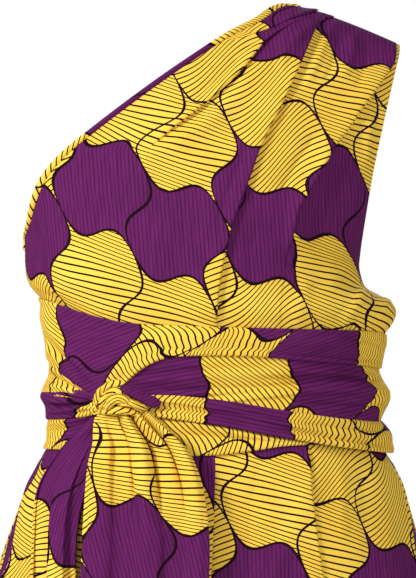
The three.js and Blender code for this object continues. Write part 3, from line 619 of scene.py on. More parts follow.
def bodice_front():
    """Front of the bodice, pleated from the shoulder and creased."""
    base = bodice_base(-1)
    normals = grid_normals(base)
    lengths = lengths_along(base)
    start = np.full(len(base), BINDING_WIDTH)
    end = lengths[:, -1]
    z_left = base[:, 0, 2]
    sides = {"neck": below_slope(PLEATS["neck"]["line"]), "shoulder": below_slope(PLEATS["shoulder"]["line"]),
             "long": right_of(PLEATS["long"]["line"]), "arm": right_of(PLEATS["arm"]["line"])}
    found = {name: crossing_lengths(base, lengths, side_of) for name, side_of in sides.items()}
    found["neck"] = np.where(z_left < PLEATS["neck"]["line"][0][1], 0, found["neck"])
    place = {}
    before = start
    for name, pleat in PLEATS.items():
        gap, rest = pleat["room"]
        before = place[name] = np.clip(found[name], before + gap, end - rest)
    below_seam = smooth(*BELOW_SHOULDER, z_left)
    folded = smooth(*SHOULDER_PLEAT_FOLDS, z_left)
    from_binding = place["neck"] - start
    rises = {"neck": smooth(*NECK_PLEAT_RISES, from_binding), "shoulder": folded * below_seam,
             "long": below_seam * smooth(*ABOVE_SASH, z_left),
             "arm": smooth(*ARM_PLEAT_RISES, z_left) * below_seam}
    hides = {"neck": smooth(*NECK_PLEAT_HIDES, from_binding), "shoulder": folded,
             "long": np.ones(len(base)), "arm": smooth(*ARM_PLEAT_HIDES, z_left)}
    pleats = [
        {"place": place[name], "slant": pleat["slant"], "rise": pleat["rise"],
         "height": pleat["least"] + pleat["more"] * rises[name], "hides": pleat["hides"] * hides[name]}
        for name, pleat in PLEATS.items()
    ]
    counts = [pleat["columns"] for pleat in PLEATS.values()] + [COLUMNS_BY_ARMHOLE]
    places, lift, hidden = pleated_columns(start, end, pleats, counts)
    edge = start[:, None] * np.arange(BINDING_EDGE_COLUMNS) / BINDING_EDGE_COLUMNS
    places = np.concatenate([edge, places], axis=1)
    lift = np.concatenate([np.zeros(edge.shape), lift], axis=1)
    hidden = np.concatenate([np.zeros(edge.shape), hidden], axis=1)
    points = at_lengths(base, lengths, places)
    out = at_lengths(normals, lengths, places)
    x, z = points[:, :, 0], points[:, :, 2]
    inside = places - BINDING_WIDTH
    from_left, from_right, from_shoulder = CALM_FRONT
    calm = (smooth(0, from_left, inside) * smooth(0, from_right, end[:, None] - places)
            * smooth(*CREASED_FRONT, z) * smooth(0, from_shoulder, shoulder_line(x) - z))
    from_left, from_right = LIFT_COMES_IN
    lift = lift * smooth(0, from_left, inside) * smooth(0, from_right, end[:, None] - places)
    lift = lift + seam_dip(places + BINDING_WIDTH, end[:, None]) * smooth(*FRONT_SEAM_DIPS, z)
    points = points + out * (lift + crease_lift(FRONT_CREASES, x, z) * calm)[:, :, None]
    hidden = hidden - (pleats[0]["hides"] + pleats[1]["hides"])[:, None]
    flat = np.stack([flat_across(base, lengths, places, -1) + hidden, flat_height(x, z, -1)], axis=2)
    return points, flat


def bodice_back():
    """Back of the bodice, with soft creases and no pleats."""
    base = bodice_base(1)[:, ::-1]
    normals = grid_normals(base)
    lengths = lengths_along(base)
    end = lengths[:, -1]
    places = even_columns(end, BACK_COLUMNS)
    points = at_lengths(base, lengths, places)
    out = at_lengths(normals, lengths, places)
    x, z = points[:, :, 0], points[:, :, 2]
    from_left, from_right, from_shoulder = CALM_BACK
    calm = (away_from_ends(places, end, from_left, from_right) * smooth(*CREASED_BACK, z)
            * smooth(0, from_shoulder, shoulder_line(x) - z))
    seams = seam_dip(places, end[:, None]) * smooth(*BACK_SEAM_DIPS, z)
    lift = crease_lift(BACK_CREASES, x, z) * calm + seams
    points = points + out * lift[:, :, None]
    flat = np.stack([flat_across(base, lengths, places, 1), flat_height(x, z, 1)], axis=2)
    return points, flat


def binding(side):
    """Roll of cloth along the neckline, on the bodice's own edge."""
    base = bodice_base(side)
    if side > 0:
        base = base[:, ::-1]
    normals = grid_normals(base)
    lengths = lengths_along(base)
    underarm = UNDERARM[0] - (0 if side < 0 else BACK_NECK_DROP)
    high = base[:, 0 if side < 0 else -1, 2] >= underarm
    base, normals, lengths = base[high], normals[high], lengths[high]
    across = np.linspace(0, 1, BINDING_COLUMNS)
    width = BINDING_WIDTH * (across if side < 0 else 1 - across)
    places = width[None, :] + np.zeros((len(base), 1))
    if side > 0:
        places = lengths[:, -1:] - places
    rounded = np.sqrt(np.clip(1 - (2 * across - 1) ** 4, 0, 1))
    least, more = BINDING_RISE
    off_seam = width - BINDING_SEAM["place"]
    rise = least + more * rounded + dip(off_seam, BINDING_SEAM["depth"], BINDING_SEAM["reach"])
    points = at_lengths(base, lengths, places)
    points += at_lengths(normals, lengths, places) * rise[None, :, None]
    steps = np.linalg.norm(np.diff(points[:, BINDING_COLUMNS // 2], axis=0), axis=1)
    run = np.concatenate([[0], np.cumsum(steps)])
    flat = np.stack(np.broadcast_arrays(width[None, :], run[:, None]), axis=2)
    return points, flat


def signed_power(value, power):
    return np.sign(value) * np.abs(value) ** power


def crotch_part(z):
    """Part of the crotch's turn that is done at a height."""
    start, end = CROTCH_TURN
    turn = np.clip((start - z) / (start - end), 0, 1)
    return 1 - np.sqrt(1 - turn * turn)


def trousers_middle(z):
    return (curve_value(TROUSERS, z, LEFT) + curve_value(TROUSERS, z, RIGHT)) / 2


def leg_section(z, along, leg, side):
    """Points of a leg's section at height z, from its inner edge (along 0) to the side seam (1)."""
    left, right = curve_value(TROUSERS, z, LEFT), curve_value(TROUSERS, z, RIGHT)
    depth = curve_value(TROUSERS, z, FRONT if side < 0 else BACK)
    outer = (right - left) / 2
    inner = curve_value(LEG_PARTING, z)
    power = 2 / ROUNDNESS
    quarter = np.pi / 2 * (1 - along)
    half = np.pi * (1 - along)
    hip_x = inner + (outer - inner) * signed_power(np.cos(quarter), power)
    leg_x = (inner + outer) / 2 + (outer - inner) / 2 * signed_power(np.cos(half), power)
    low, high, most = LEG_SHAPE
    part = crotch_part(z)
    part = part + (smooth(high, low, z) - part) * smooth(0, most, along)
    x = hip_x + (leg_x - hip_x) * part
    y = depth * (signed_power(np.sin(quarter), power) * (1 - part) + signed_power(np.sin(half), power) * part)
    middle = (left + right) / 2
    return np.stack([middle + leg * x, side * y, np.full(along.shape, z)], axis=1)


def pocket_cut(z, leg):
    """Share of the side front that the pocket opening takes away at each height."""
    above = smooth(POCKET["top"], POCKET["widest"], z)
    below = smooth(POCKET["bottom"], POCKET["widest"], z)
    return POCKET["cut"][leg] * np.where(z > POCKET["widest"], above, below)


def leg_heights():
    rows = LEG_ROWS
    fine = np.arange(rows["top"], rows["fine_until"], -rows["fine"])
    stitch_z = HEM_Z + HEM_STITCH
    coarse = np.arange(fine[-1] - rows["gap"], stitch_z, -rows["coarse"])
    coarse = coarse[coarse > stitch_z + rows["over_stitch"]]
    hem = np.concatenate([stitch_z + np.array(ROWS_BY_STITCH), HEM_Z + np.array(ROWS_BY_HEM)])
    return np.concatenate([fine, coarse, hem])[::-1]


def folded_section(z, along, leg, side, behind=0):
    """A leg's section with its deep hanging folds, moved inwards by a distance."""
    points = leg_section(z, along, leg, side)
    steps = np.abs(np.gradient(points, axis=0))
    out = np.stack([leg * steps[:, 1], side * steps[:, 0]], axis=1)
    out[:, 0] *= np.where(along < 0.5 * crotch_part(z), -1, 1)
    out /= np.maximum(np.linalg.norm(out, axis=1, keepdims=True), TINY)
    lift = np.zeros(along.shape)
    for at, width, depth in (FRONT_FOLDS if side < 0 else BACK_FOLDS):
        lift += depth * np.exp(-((along - at) / width) ** 2)
    points[:, :2] += out * (lift * smooth(FOLD_START_Z, HEM_Z, z) - behind)[:, None]
    return points


def leg_base(leg, side, count=260):
    """Rows of a leg piece, from the inner edge to the side or pocket."""
    rows = []
    for z in leg_heights():
        reach = 1 - float(pocket_cut(z, leg)) if side < 0 else 1
        rows.append(folded_section(z, np.linspace(0, reach, count), leg, side))
    return np.array(rows)


def leg_print_start(base, lengths):
    """How far along each row of a leg the print's middle line lies."""
    middle = trousers_middle(base[:, 0, 2])[:, None]
    return crossing_lengths(base, lengths, lambda x, z: np.abs(x - middle) - LEG_PRINT_OFF)[:, None]


def hem_dip(z):
    """Lift along the line of stitches that holds a hem."""
    return dip(z - HEM_Z - HEM_STITCH, HEM_DIP, STITCH_REACH)


def leg_front(leg):
    """Front of a leg (1 the wearer's left, -1 the right), with its pleat and cut-away pocket."""
    base = leg_base(leg, -1)
    lengths = lengths_along(base)
    heights = base[:, 0, 2]
    middle = trousers_middle(heights)
    pleat_off = curve_value(LEG_PLEAT["line"], heights)
    pleat = crossing_lengths(
        base, lengths, lambda x, z: np.abs(x - middle[:, None]) - pleat_off[:, None])
    end = lengths[:, -1]
    least, most = LEG_PLEAT["room"]
    pleat = np.clip(pleat, least, end - most)
    opens = smooth(*LEG_PLEAT["opens"], heights)
    rises = LEG_PLEAT["more"] * opens * smooth(*LEG_PLEAT["shows"], heights)
    pleats = [{"place": pleat, "slant": LEG_PLEAT["slant"], "rise": LEG_PLEAT["rise"],
               "height": LEG_PLEAT["least"] + rises, "hides": LEG_PLEAT["hides"] * opens}]
    places, lift, hidden = pleated_columns(np.zeros(len(base)), end, pleats, LEG_PLEAT["columns"])
    order = 1 if leg > 0 else -1
    normals = grid_normals(base if leg > 0 else base[:, ::-1])[:, ::order]
    points = at_lengths(base, lengths, places)
    out = at_lengths(normals, lengths, places)
    off = leg * (points[:, :, 0] - middle[:, None]) - CREASES_OFF["front"]
    calm = away_from_ends(places, end, *CALM_LEG) * smooth(*CREASED_LEG, points[:, :, 2])
    from_side = end[:, None] - places
    opened = smooth(*POCKET_OPEN, pocket_cut(heights, leg))[:, None]
    rolled = -dip(from_side, POCKET["roll"], POCKET_ROLL_REACH)
    stitched = dip(from_side - POCKET["stitch"], STITCH_DIP, STITCH_REACH)
    edge = rolled + stitched - dip(from_side, SEAM_DIP, SEAM_REACH)
    lift = lift * smooth(0, LIFT_COMES_IN[1], from_side) + seam_dip(places, end[:, None]) + opened * edge
    lift = lift + crease_lift(LEG_FRONT_CREASES, off, points[:, :, 2]) * calm + hem_dip(points[:, :, 2])
    points = points + out * lift[:, :, None]
    flat = np.stack([leg * (places - leg_print_start(base, lengths) + hidden),
                     np.broadcast_to(heights[:, None], places.shape)], axis=2)
    return points[:, ::order], flat[:, ::order]


def leg_back(leg):
    """Back of a leg, which is plain but for its creases."""
    base = leg_base(leg, 1)
    lengths = lengths_along(base)
    end = lengths[:, -1]
    places = even_columns(end, LEG_BACK_COLUMNS)
    order = -1 if leg > 0 else 1
    normals = grid_normals(base if leg < 0 else base[:, ::-1])[:, ::order]
    points = at_lengths(base, lengths, places)
    out = at_lengths(normals, lengths, places)
    off = leg * (points[:, :, 0] - trousers_middle(points[:, :, 2])) - CREASES_OFF["back"]
    calm = away_from_ends(places, end, *CALM_LEG) * smooth(*CREASED_LEG, points[:, :, 2])
    lift = (crease_lift(LEG_FRONT_CREASES, off, points[:, :, 2]) * calm + seam_dip(places, end[:, None])
            + hem_dip(points[:, :, 2]))
    points = points + out * lift[:, :, None]
    flat = np.stack([leg * (places - leg_print_start(base, lengths)), points[:, :, 2]], axis=2)
    return points[:, ::order], flat[:, ::order]


def pocket_facing(leg):
    """Strip of cloth behind a pocket opening."""
    heights = leg_heights()
    heights = heights[pocket_cut(heights, leg) > FACING["least_cut"]]
    rows = []
    for z in heights:
        reach = 1 - float(pocket_cut(z, leg))
        along = np.linspace(reach * FACING["starts"], 1, FACING["columns"])
        rows.append(folded_section(z, along, leg, -1, FACING["behind"]))
    points = np.array(rows)
    flat = np.stack([leg * lengths_along(points), points[:, :, 2]], axis=2)
    order = 1 if leg > 0 else -1
    return points[:, ::order], flat[:, ::order]


def waist_section(angle, z, stand):
    """Points of the wound waist at angles, heights and stand-offs from the cloth under it."""
    upper = z > WAIST_Z
    left, right, fore, aft = (np.where(upper, curve_value(TORSO, z, column), curve_value(TROUSERS, z, column))
                              for column in (LEFT, RIGHT, FRONT, BACK))
    wide = (right - left) / 2 + stand
    deep = np.where(np.sin(angle) < 0, fore, aft) + stand
    power = 2 / ROUNDNESS
    x = (left + right) / 2 + wide * signed_power(np.cos(angle), power)
    return np.stack([x, deep * signed_power(np.sin(angle), power), z], axis=-1)


def sash_turn(turn):
    """A turn of the sash, all round the waist."""
    start, out_of_sight, end = SASH_ANGLES
    seen, unseen = SASH_COLUMNS
    degrees = np.concatenate([np.linspace(start, out_of_sight, seen),
                              np.linspace(out_of_sight, end, unseen + 1)[1:]])
    top, bottom = curve_value(turn["edges"], degrees, 1), curve_value(turn["edges"], degrees, 2)
    up = np.linspace(0, 1, turn["rows"] + 1)[:, None]
    z = bottom + (top - bottom) * up
    angle = np.radians(np.broadcast_to(degrees, z.shape))
    base = waist_section(angle, z, np.zeros(z.shape))
    in_front = smooth(0.0, -FRONT_TO_SIDE, np.sin(angle))
    behind = smooth(0.0, FRONT_TO_SIDE, np.sin(angle))
    lift = crease_lift(turn["creases"], base[:, :, 0], z) * in_front
    for middle, tilt, height in SASH_BACK_CREASES:
        place = 0.5 + middle + tilt * np.cos(angle)
        off = (up - place) * (top - bottom) / SASH_BACK_REACH
        lift += behind * height * np.exp(-np.abs(off) ** SASH_BACK_POWER)
    for centre, spread, height, half, out in turn["bulges"]:
        turned = (degrees - centre + 180) % 360 - 180
        lift += out * np.exp(-(turned / spread) ** 2) * np.exp(-((z - height) / half) ** 2)
    stand_middle, stand_top = turn["stand"]
    stand = stand_top + (stand_middle - stand_top) * smooth(1, TOP_EDGE_FROM, up)
    from_edge = np.minimum(up, 1 - up) * (top - bottom)
    edge = np.clip(1 - from_edge / EDGE_ROLL, 0, 1)
    rolled = EDGE_ROLL * EDGE_DROP * (1 - np.sqrt(1 - edge ** 2))
    stand = stand + lift * smooth(0, EDGE_CALM, from_edge) - rolled
    points = waist_section(angle, z, np.maximum(stand, turn["rest"]))
    run = lengths_along(points)
    flat = np.stack([run / run[:, -1:] * turn["around"], z], axis=2)
    return points, flat


def front_of_leg(x, z, stand):
    """Where a stand-off from the leg's front lies at places seen from the front, one height a row."""
    y = np.empty(x.shape)
    for r in range(len(x)):
        height = z[r, 0]
        section = leg_section(height, np.linspace(0, 1, 160), 1, -1)
        step = np.gradient(section, axis=0)
        length = np.maximum(np.hypot(step[:, 0], step[:, 1]), TINY)
        middle = trousers_middle(height)
        level = stand[r].mean()
        off = section[:, 0] - middle + level * step[:, 1] / length
        depth = section[:, 1] - level * step[:, 0] / length
        rising = np.maximum.accumulate(off)
        y[r] = np.interp(np.maximum(np.abs(x[r] - middle), LEG_INNER), rising, depth) - (stand[r] - level)
    return y


def tail(piece):
    """A hanging end of the sash, folded down its length and gathered under the knot."""
    heights = np.array([row[0] for row in piece["rows"]], float)
    z_rows = np.arange(heights.max(), heights.min(), -ROW_STEP)[::-1]
    across = np.linspace(-0.5, 0.5, piece["columns"] + 1)
    centre, width, stand, fold = (curve_value(piece["rows"], z_rows, c)[:, None] for c in (1, 2, 3, 4))
    sway, length = TAIL_SWAY
    phase = 2 * np.pi * piece["folds"] * across[None, :] + sway * np.sin(z_rows / length)[:, None]
    edges = smooth(0.5, TAIL_EVEN_WITHIN, np.abs(across))[None, :]
    x = centre + width * across[None, :] + piece["lean"] * (fold / TAIL_FOLD) * np.sin(2 * phase) * edges
    z = np.broadcast_to(z_rows[:, None], x.shape)
    low, high = piece["fade"]
    start, full = TAIL_GATHERS
    gathered = smooth(low, high, z_rows) * smooth(heights.max() - start, heights.max() - full, z_rows)
    rise = fold * np.cos(phase)
    for place, half, height in piece["ridges"]:
        rise = rise + height * gathered[:, None] * np.exp(-((across[None, :] - place) / half) ** 2)
    from_side = (0.5 - np.abs(across))[None, :] * width
    rise = rise + dip(from_side - TAIL_HEM, STITCH_DIP, STITCH_REACH)
    rise = rise + dip(z - heights.min() - TAIL_HEM, STITCH_DIP, TAIL_HEM_REACH)
    y = front_of_leg(x, z, stand + rise)
    points = np.stack([x, y, z], axis=2)
    run = lengths_along(points)
    flat = np.stack([run - run[:, -1:] / 2, z], axis=2)
    return points, flat


def strand(line, half_width, half_depth, twist, steps=36, sides=18):
    """A gathered strand of cloth, swept along points given by place seen from the front and stand-off."""
    line = np.array(line, float)
    passed = np.concatenate([[0], np.cumsum(np.linalg.norm(np.diff(line, axis=0), axis=1))])
    table = [(float(p), *map(float, row)) for p, row in zip(passed, line)]
    at = np.linspace(0, passed[-1], steps)
    x, z, stand = (curve_value(table, at, c) for c in (1, 2, 3))
    y = front_of_leg(x[:, None], z[:, None], stand[:, None])[:, 0]
    centre = np.stack([x, y, z], axis=1)
    ahead = np.gradient(centre, axis=0)
    ahead /= np.linalg.norm(ahead, axis=1, keepdims=True)
    facing = np.broadcast_to([0.0, -1.0, 0.0], ahead.shape)
    wide = np.cross(ahead, facing)
    wide /= np.linalg.norm(wide, axis=1, keepdims=True)
    facing = np.cross(wide, ahead)
    angle = np.linspace(0, 2 * np.pi, sides + 1)[None, :]
    turn = (2 * np.pi * twist * np.linspace(0, 1, steps))[:, None]
    gather = 1 + sum(depth * np.cos(count * (angle + way * turn)) for count, way, depth in STRAND_GATHERS)
    narrow, from_end = STRAND_ENDS["narrow"], np.minimum(at, passed[-1] - at) / passed[-1] * 2
    ends = (narrow + (1 - narrow) * smooth(0, STRAND_ENDS["reach"], from_end))[:, None]
    spread = half_width * gather * ends * np.cos(angle)
    rise = half_depth * gather * ends * np.sin(angle)
    points = centre[:, None] + wide[:, None] * spread[:, :, None] + facing[:, None] * rise[:, :, None]
    print_across = angle * half_width * STRAND_PRINT["across"]
    print_along = at[:, None] + STRAND_PRINT["wave"] * np.sin(angle + turn)
    flat = np.stack(np.broadcast_arrays(print_across, print_along), axis=2)
    return points, flat


def shape_cloth(name, points, flat, thickness, shift, turn=0.0, merge=False):
    """A sheet of cloth: a grid primitive laid on rows of points, with the flat cloth as its UV map."""
    rows, columns = points.shape[:2]
    bpy.ops.object.select_all(action="DESELECT")
    bpy.ops.mesh.primitive_grid_add(x_subdivisions=columns - 1, y_subdivisions=rows - 1, size=2)
    piece = bpy.context.object
    piece.name = piece.data.name = name
    mesh = piece.data
    places = np.empty(len(mesh.vertices) * 3)
    mesh.vertices.foreach_get("co", places)
    places = places.reshape(-1, 3)
    order = np.lexsort((places[:, 0].round(5), places[:, 1].round(5)))
    places[order] = points.reshape(-1, 3) * MM
    mesh.vertices.foreach_set("co", places.ravel())
    cosine, sine = math.cos(turn), math.sin(turn)
    u, v = flat[:, :, 0].ravel() + shift[0], flat[:, :, 1].ravel() + shift[1]
    prints = np.empty((len(mesh.vertices), 2))
    prints[order] = np.stack([u * cosine - v * sine, u * sine + v * cosine], axis=1) * MM
    corners = np.empty(len(mesh.loops), int)
    mesh.loops.foreach_get("vertex_index", corners)
    layer = mesh.uv_layers[0] if mesh.uv_layers else mesh.uv_layers.new()
    layer.name = "cloth"
    layer.data.foreach_set("uv", prints[corners].ravel())
    mesh.update()
    if merge:
        bpy.ops.object.mode_set(mode="EDIT")
        bpy.ops.mesh.select_all(action="SELECT")
        bpy.ops.mesh.remove_doubles(threshold=MERGE_WITHIN * MM)
        bpy.ops.object.mode_set(mode="OBJECT")
    wall = piece.modifiers.new("cloth wall", "SOLIDIFY")
    wall.thickness = thickness * MM
    wall.offset = 0
    bpy.ops.object.modifier_apply(modifier=wall.name)
    bpy.ops.object.shade_smooth_by_angle(angle=math.radians(SMOOTH_BELOW))
    return piece


def linear(colour):
    """An sRGB hex colour as linear red, green, blue and alpha."""
    parts = [int(colour[k:k + 2], 16) / 255 for k in (1, 3, 5)]
    return [p / 12.92 if p <= 0.04045 else ((p + 0.055) / 1.055) ** 2.4 for p in parts] + [1.0]


def add_node(tree, kind, inputs=None, **settings):
    """Adds a shader node, with its settings, and fills its sockets from values or from other nodes."""
    new = tree.nodes.new("ShaderNode" + kind)
    for setting, value in settings.items():
        setattr(new, setting, value)
    for socket, value in (inputs or {}).items():
        if isinstance(value, bpy.types.Node):
            tree.links.new(value.outputs[0], new.inputs[socket])
        elif isinstance(value, bpy.types.NodeSocket):
            tree.links.new(value, new.inputs[socket])
        else:
            new.inputs[socket].default_value = value
    return new


# Printed crepe: smooth woven polyester crepe, printed all over in two colours and a dark line, and nearly
# matt to the eye. The print is a lattice of ogees 100 by 158 mm, plum or hatched yellow. Its lengths are in
# metres, its noise scales and drawn_out in waves a metre, and wave and least_reach in shares of an ogee.
PRINT = {
    "width": 0.1, "height": 0.158, "tilt": math.radians(27), "wave": 0.135,
    "line": 0.0023, "least_reach": 0.002, "hatch": 0.0048, "hatch_line": 0.00064, "stripe": 0.0042,
    "hatch_ways": ((0.30, 0.95, 0), (-0.62, 0.78, 0)), "stripe_slope": 0.08,
    "uneven": 28.0, "cloud": 14.0, "drawn_out": (330.0, 30.0, 1.0), "grain": 1100.0,
    "yellow": "#fdda5a", "yellow_deep": "#efba38", "plum": "#6a2362", "plum_dark": "#3d1538",
    "ink": "#1f0b16",
}


def lattice_way(sign):
    """Direction in which one set of the lattice's lines is counted."""
    across, up = 1 / PRINT["width"], sign / PRINT["height"]
    cosine, sine = math.cos(PRINT["tilt"]), math.sin(PRINT["tilt"])
    return (across * cosine - up * sine, across * sine + up * cosine, 0)


def printed_crepe(name):
    cloth = bpy.data.materials.new(name)
    cloth.use_nodes = True
    tree = cloth.node_tree
    tree.nodes.clear()
    place = add_node(tree, "UVMap", uv_map="cloth")
    counts = []
    waves = []
    for sign in (1, -1):
        count = add_node(tree, "VectorMath", {0: place, 1: lattice_way(sign)},
                         operation="DOT_PRODUCT")
        whole = add_node(tree, "Math", {0: count.outputs["Value"], 1: 2 * math.pi},
                         operation="MULTIPLY")
        counts.append(count.outputs["Value"])
        waves.append(add_node(tree, "Math", {0: whole}, operation="SINE"))
    curved = [add_node(tree, "Math", {0: waves[1 - k], 1: PRINT["wave"], 2: counts[k]},
                       operation="MULTIPLY_ADD") for k in (0, 1)]
    floors = [add_node(tree, "Math", {0: line}, operation="FLOOR") for line in curved]
    # Two of every five ogees are plum: those whose count comes to 0 or 2
    both = add_node(tree, "Math", {0: floors[1], 1: 2.0, 2: floors[0]}, operation="MULTIPLY_ADD")
    fifth = add_node(tree, "Math", {0: both, 1: 5.0}, operation="FLOORED_MODULO")
    from_one = add_node(tree, "Math", {0: fifth, 1: 1.0}, operation="SUBTRACT")
    spread = add_node(tree, "Math", {0: from_one}, operation="ABSOLUTE")
    is_plum = add_node(tree, "Math", {0: spread, 1: 1.0, 2: 0.1}, operation="COMPARE")
    kind = add_node(tree, "Math", {0: floors[0], 1: 2.0}, operation="FLOORED_MODULO")
    # Outline of the ogees, uneven in width as a printed line is
    steepness = math.hypot(1 / PRINT["width"], 1 / PRINT["height"])
    uneven = add_node(tree, "TexNoise", {"Vector": place, "Scale": PRINT["uneven"], "Detail": 1.0})
    reach = add_node(tree, "Math", {
        0: uneven, 1: PRINT["line"] * steepness, 2: PRINT["least_reach"]}, operation="MULTIPLY_ADD")
    edges = [add_node(tree, "Math", {0: line, 1: 0.5}, operation="PINGPONG") for line in curved]
    nearest = add_node(tree, "Math", {0: edges[0], 1: edges[1]}, operation="MINIMUM")
    outline = add_node(tree, "Math", {0: nearest, 1: reach}, operation="LESS_THAN")
    # Hatching, in two directions and slightly bowed
    hatches = []
    for way, wave in zip(PRINT["hatch_ways"], waves):
        turned = tuple(part / PRINT["hatch"] for part in way)
        flat = add_node(tree, "VectorMath", {0: place, 1: turned}, operation="DOT_PRODUCT")
        hatches.append(add_node(tree, "Math", {0: wave, 1: 1.0, 2: flat.outputs["Value"]},
                                operation="MULTIPLY_ADD"))
    hatch = add_node(tree, "Mix", {"Factor": kind, "A": hatches[0], "B": hatches[1]})
    hatch_edge = add_node(tree, "Math", {0: hatch, 1: 0.5}, operation="PINGPONG")
    hatched = add_node(tree, "Math", {0: hatch_edge, 1: PRINT["hatch_line"] / PRINT["hatch"]},
                       operation="LESS_THAN")
    # Yellow ground, a little uneven, and plum ground with fine tonal stripes
    cloud = add_node(tree, "TexNoise", {"Vector": place, "Scale": PRINT["cloud"], "Detail": 3.0})
    yellow = add_node(tree, "Mix", {
        "Factor": cloud, 6: linear(PRINT["yellow"]), 7: linear(PRINT["yellow_deep"])}, data_type="RGBA")
    across = (1 / PRINT["stripe"], PRINT["stripe_slope"] / PRINT["stripe"], 0)
    striped = add_node(tree, "VectorMath", {0: place, 1: across}, operation="DOT_PRODUCT")
    stripe = add_node(tree, "Math", {0: striped.outputs["Value"], 1: 0.5}, operation="PINGPONG")
    drawn_out = add_node(tree, "VectorMath", {0: place, 1: PRINT["drawn_out"]},
                         operation="MULTIPLY")
    broken = add_node(tree, "TexNoise", {"Vector": drawn_out, "Scale": 1.0, "Detail": 2.0})
    stripe_line = add_node(tree, "MapRange", {"Value": stripe, 1: 0.0, 2: 0.22, 3: 0.5, 4: 0.0})
    stripe_tone = add_node(tree, "Math", {0: broken, 1: 0.6, 2: stripe_line.outputs[0]},
                           operation="MULTIPLY_ADD")
    stripe_share = add_node(tree, "MapRange", {
        "Value": stripe_tone, 1: 0.16, 2: 0.8, 3: 0.0, 4: 1.0})
    plum = add_node(tree, "Mix", {
        "Factor": stripe_share.outputs[0], 6: linear(PRINT["plum"]), 7: linear(PRINT["plum_dark"])},
        data_type="RGBA")
    ink = linear(PRINT["ink"])
    hatched_yellow = add_node(tree, "Mix", {"Factor": hatched, 6: yellow.outputs[2], 7: ink},
                              data_type="RGBA")
    grounds = add_node(tree, "Mix", {
        "Factor": is_plum, 6: hatched_yellow.outputs[2], 7: plum.outputs[2]}, data_type="RGBA")
    colour = add_node(tree, "Mix", {"Factor": outline, 6: grounds.outputs[2], 7: ink},
                      data_type="RGBA")
    # Crepe grain, drawn at 0.9 mm so that it shows
    grain = add_node(tree, "TexNoise", {"Vector": place, "Scale": PRINT["grain"], "Detail": 2.0})
    bump = add_node(tree, "Bump", {
        "Strength": 0.18, "Distance": 0.0004, "Height": grain.outputs[0]})
    surface = add_node(tree, "BsdfPrincipled", {
        "Base Color": colour.outputs[2], "Roughness": 0.75, "IOR": 1.45, "Specular IOR Level": 0.04,
        "Normal": bump})
    add_node(tree, "OutputMaterial", {"Surface": surface})
    return cloth


crepe = printed_crepe("printed crepe")


def finish_cloth(piece, node):
    """Gives a cloth piece its material and body, in place of its solid."""
    piece.data.materials.clear()
    piece.data.materials.append(crepe)
    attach(piece, "root")
    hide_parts(node)


def join(pieces, name):
    """One object from several, whose meshes go together."""
    bpy.ops.object.select_all(action="DESELECT")
    for piece in pieces:
        piece.select_set(True)
    bpy.context.view_layer.objects.active = pieces[0]
    bpy.ops.object.join()
    pieces[0].name = pieces[0].data.name = name
    return pieces[0]


# Each piece by its node, with its place in mm and turn in radians on the print
made = {
    "bodice_front": shape_cloth("front_bodice", *bodice_front(), CLOTH, (53, -8)),
    "bodice_back": shape_cloth("back_bodice", *bodice_back(), CLOTH, (119, 38)),
    "neck_binding_front": shape_cloth("front_neck_roll", *binding(-1), CLOTH, (10, 40), 0.7),
    "neck_binding_back": shape_cloth("back_neck_roll", *binding(1), CLOTH, (30, 60), 0.7),
}
LEGS = {
    "left": {"way": 1, "front": (25, 144), "back": (85, 152), "facing": (30, 250)},
    "right": {"way": -1, "front": (75, 204), "back": (135, 152), "facing": (55, 254)},
}
for name, leg in LEGS.items():
    way = leg["way"]
    made[f"leg_front_{name}"] = shape_cloth(f"front_leg_{name}", *leg_front(way), CLOTH, leg["front"])
    made[f"leg_back_{name}"] = shape_cloth(f"back_leg_{name}", *leg_back(way), CLOTH, leg["back"])
    made[f"pocket_facing_{name}"] = shape_cloth(
        f"pocket_lining_{name}", *pocket_facing(way), CLOTH, leg["facing"], 0.4)
for name, turn in SASH.items():
    made[f"sash_wrap_{name}"] = shape_cloth(
        f"sash_turn_{name}", *sash_turn(turn), SASH_CLOTH, turn["shift"], turn["turn"], merge=True)
for name, end in TAILS.items():
    made[f"sash_tail_{name}"] = shape_cloth(f"sash_end_{name}", *tail(end), CLOTH, end["shift"], end["turn"])
strands = [shape_cloth(f"strand_{k}", *strand(*line), STRAND_CLOTH, shift, 0.5 * k, merge=True)
           for k, (*line, shift) in enumerate(KNOT_STRANDS)]
made["sash_knot"] = join(strands, "sash_tied_knot")

SHEETS = {
    "bodice_front": ((0.52, 0.56), "gathered", ["neck_binding_front"], 0.17),
    "bodice_back": ((0.46, 0.50), "stretched", ["neck_binding_back"], 0.14),
    "neck_binding_front": ((0.010, 0.40), "stretched", ["bodice_front"], None),
    "neck_binding_back": ((0.010, 0.40), "stretched", ["bodice_back"], None),
    "leg_front_left": ((0.40, 1.05), "hung", ["bodice_front"], None),
    "leg_front_right": ((0.40, 1.05), "hung", ["bodice_front"], None),
    "leg_back_left": ((0.40, 1.05), "hung", ["bodice_back"], None),
    "leg_back_right": ((0.40, 1.05), "hung", ["bodice_back"], None),
    "pocket_facing_left": ((0.043, 0.15), "hung", ["leg_back_left"], None),
    "pocket_facing_right": ((0.046, 0.15), "hung", ["leg_back_right"], None),
    "sash_wrap_middle": ((0.066, 0.92), "stretched", ["bodice_front"], None),
    "sash_wrap_lower": ((0.04, 0.92), "stretched", ["leg_front_left"], None),
    "sash_wrap_top": ((0.05, 0.94), "stretched", ["bodice_front"], None),
    "sash_wrap_crossing": ((0.035, 0.95), "stretched", ["leg_front_left"], None),
    "sash_tail_narrow": ((0.074, 0.52), "hung", ["sash_wrap_lower"], None),
    "sash_tail_wide": ((0.15, 0.57), "hung", ["sash_wrap_lower"], None),
    "sash_knot": ((0.08, 0.085), "folded", ["sash_wrap_middle"], None),
}
for node, (flat, held, rests, area) in SHEETS.items():
    finish_cloth(made[node], node)

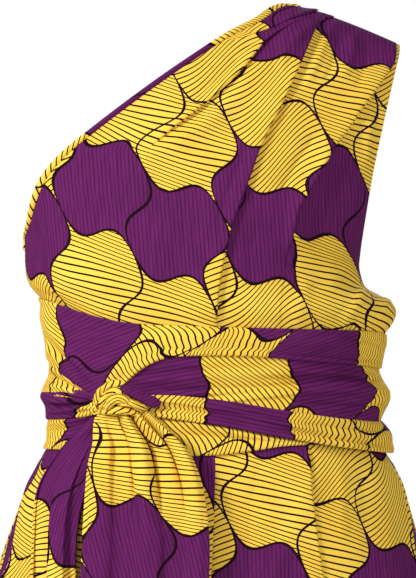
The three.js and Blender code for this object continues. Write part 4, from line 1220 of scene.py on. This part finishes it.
# Matt floor paint: rolled on, so pale and without gloss. The floor lies just under the hems.
MIDDLE_X = -0.14
FLOOR_Z = -1.46
bpy.ops.object.select_all(action="DESELECT")
bpy.ops.mesh.primitive_circle_add(vertices=128, radius=2.6, fill_type="NGON", location=(MIDDLE_X, 0, FLOOR_Z))
floor = bpy.context.object
floor.name = "pale_floor"
floor_paint = bpy.data.materials.new("matt floor paint")
floor_paint.use_nodes = True
paint = floor_paint.node_tree.nodes["Principled BSDF"]
paint.inputs["Base Color"].default_value = linear("#f2f1ef")
paint.inputs["Roughness"].default_value = 0.9
floor.data.materials.append(floor_paint)

# White surroundings that light the cloth softly and look plain white behind it
world = bpy.data.worlds.new("white studio")
bpy.context.scene.world = world
world.use_nodes = True
sky = world.node_tree
sky.nodes.clear()
rays = add_node(sky, "LightPath")
soft = add_node(sky, "Background", {"Color": (1, 1, 1, 1), "Strength": 0.4})
seen = add_node(sky, "Background", {"Color": (1, 1, 1, 1), "Strength": 1.0})
either = add_node(sky, "MixShader", {0: rays.outputs["Is Camera Ray"], 1: soft, 2: seen})
add_node(sky, "OutputWorld", {"Surface": either})


def soft_light(name, place, target, size, power):
    """A square studio light turned towards a target."""
    lamp = bpy.data.lights.new(name, "AREA")
    lamp.size = size
    lamp.energy = power
    light = bpy.data.objects.new(name, lamp)
    bpy.context.scene.collection.objects.link(light)
    light.location = place
    way = np.array(target) - np.array(place)
    light.rotation_mode = "XYZ"
    tip = math.atan2(math.hypot(way[0], way[1]), -way[2])
    light.rotation_euler = (tip, 0, math.atan2(way[0], -way[1]) + math.pi)


soft_light("key light", (-2.5, -1.9, 1.1), (MIDDLE_X, 0, -0.35), 0.8, 96)
soft_light("fill light", (1.2, -2.6, 0.4), (MIDDLE_X, 0, -0.4), 1.8, 24)
soft_light("back light", (0.4, 3.0, 0.9), (MIDDLE_X, 0, -0.7), 1.6, 34)

# Camera: level, in front, with the picture's 0.433 by 0.602 m at the side seams
DISTANCE = 14.0
VIEW_HEIGHT = 0.6021
camera_data = bpy.data.cameras.new("camera")
camera = bpy.data.objects.new("camera", camera_data)
bpy.context.scene.collection.objects.link(camera)
camera.location = (-0.1427, -DISTANCE, -0.275)
camera.rotation_euler = (math.pi / 2, 0, 0)
camera_data.lens = camera_data.sensor_width * DISTANCE / VIEW_HEIGHT
camera_data.clip_end = 100
bpy.context.scene.camera = camera
bpy.context.scene.view_settings.view_transform = "Standard"
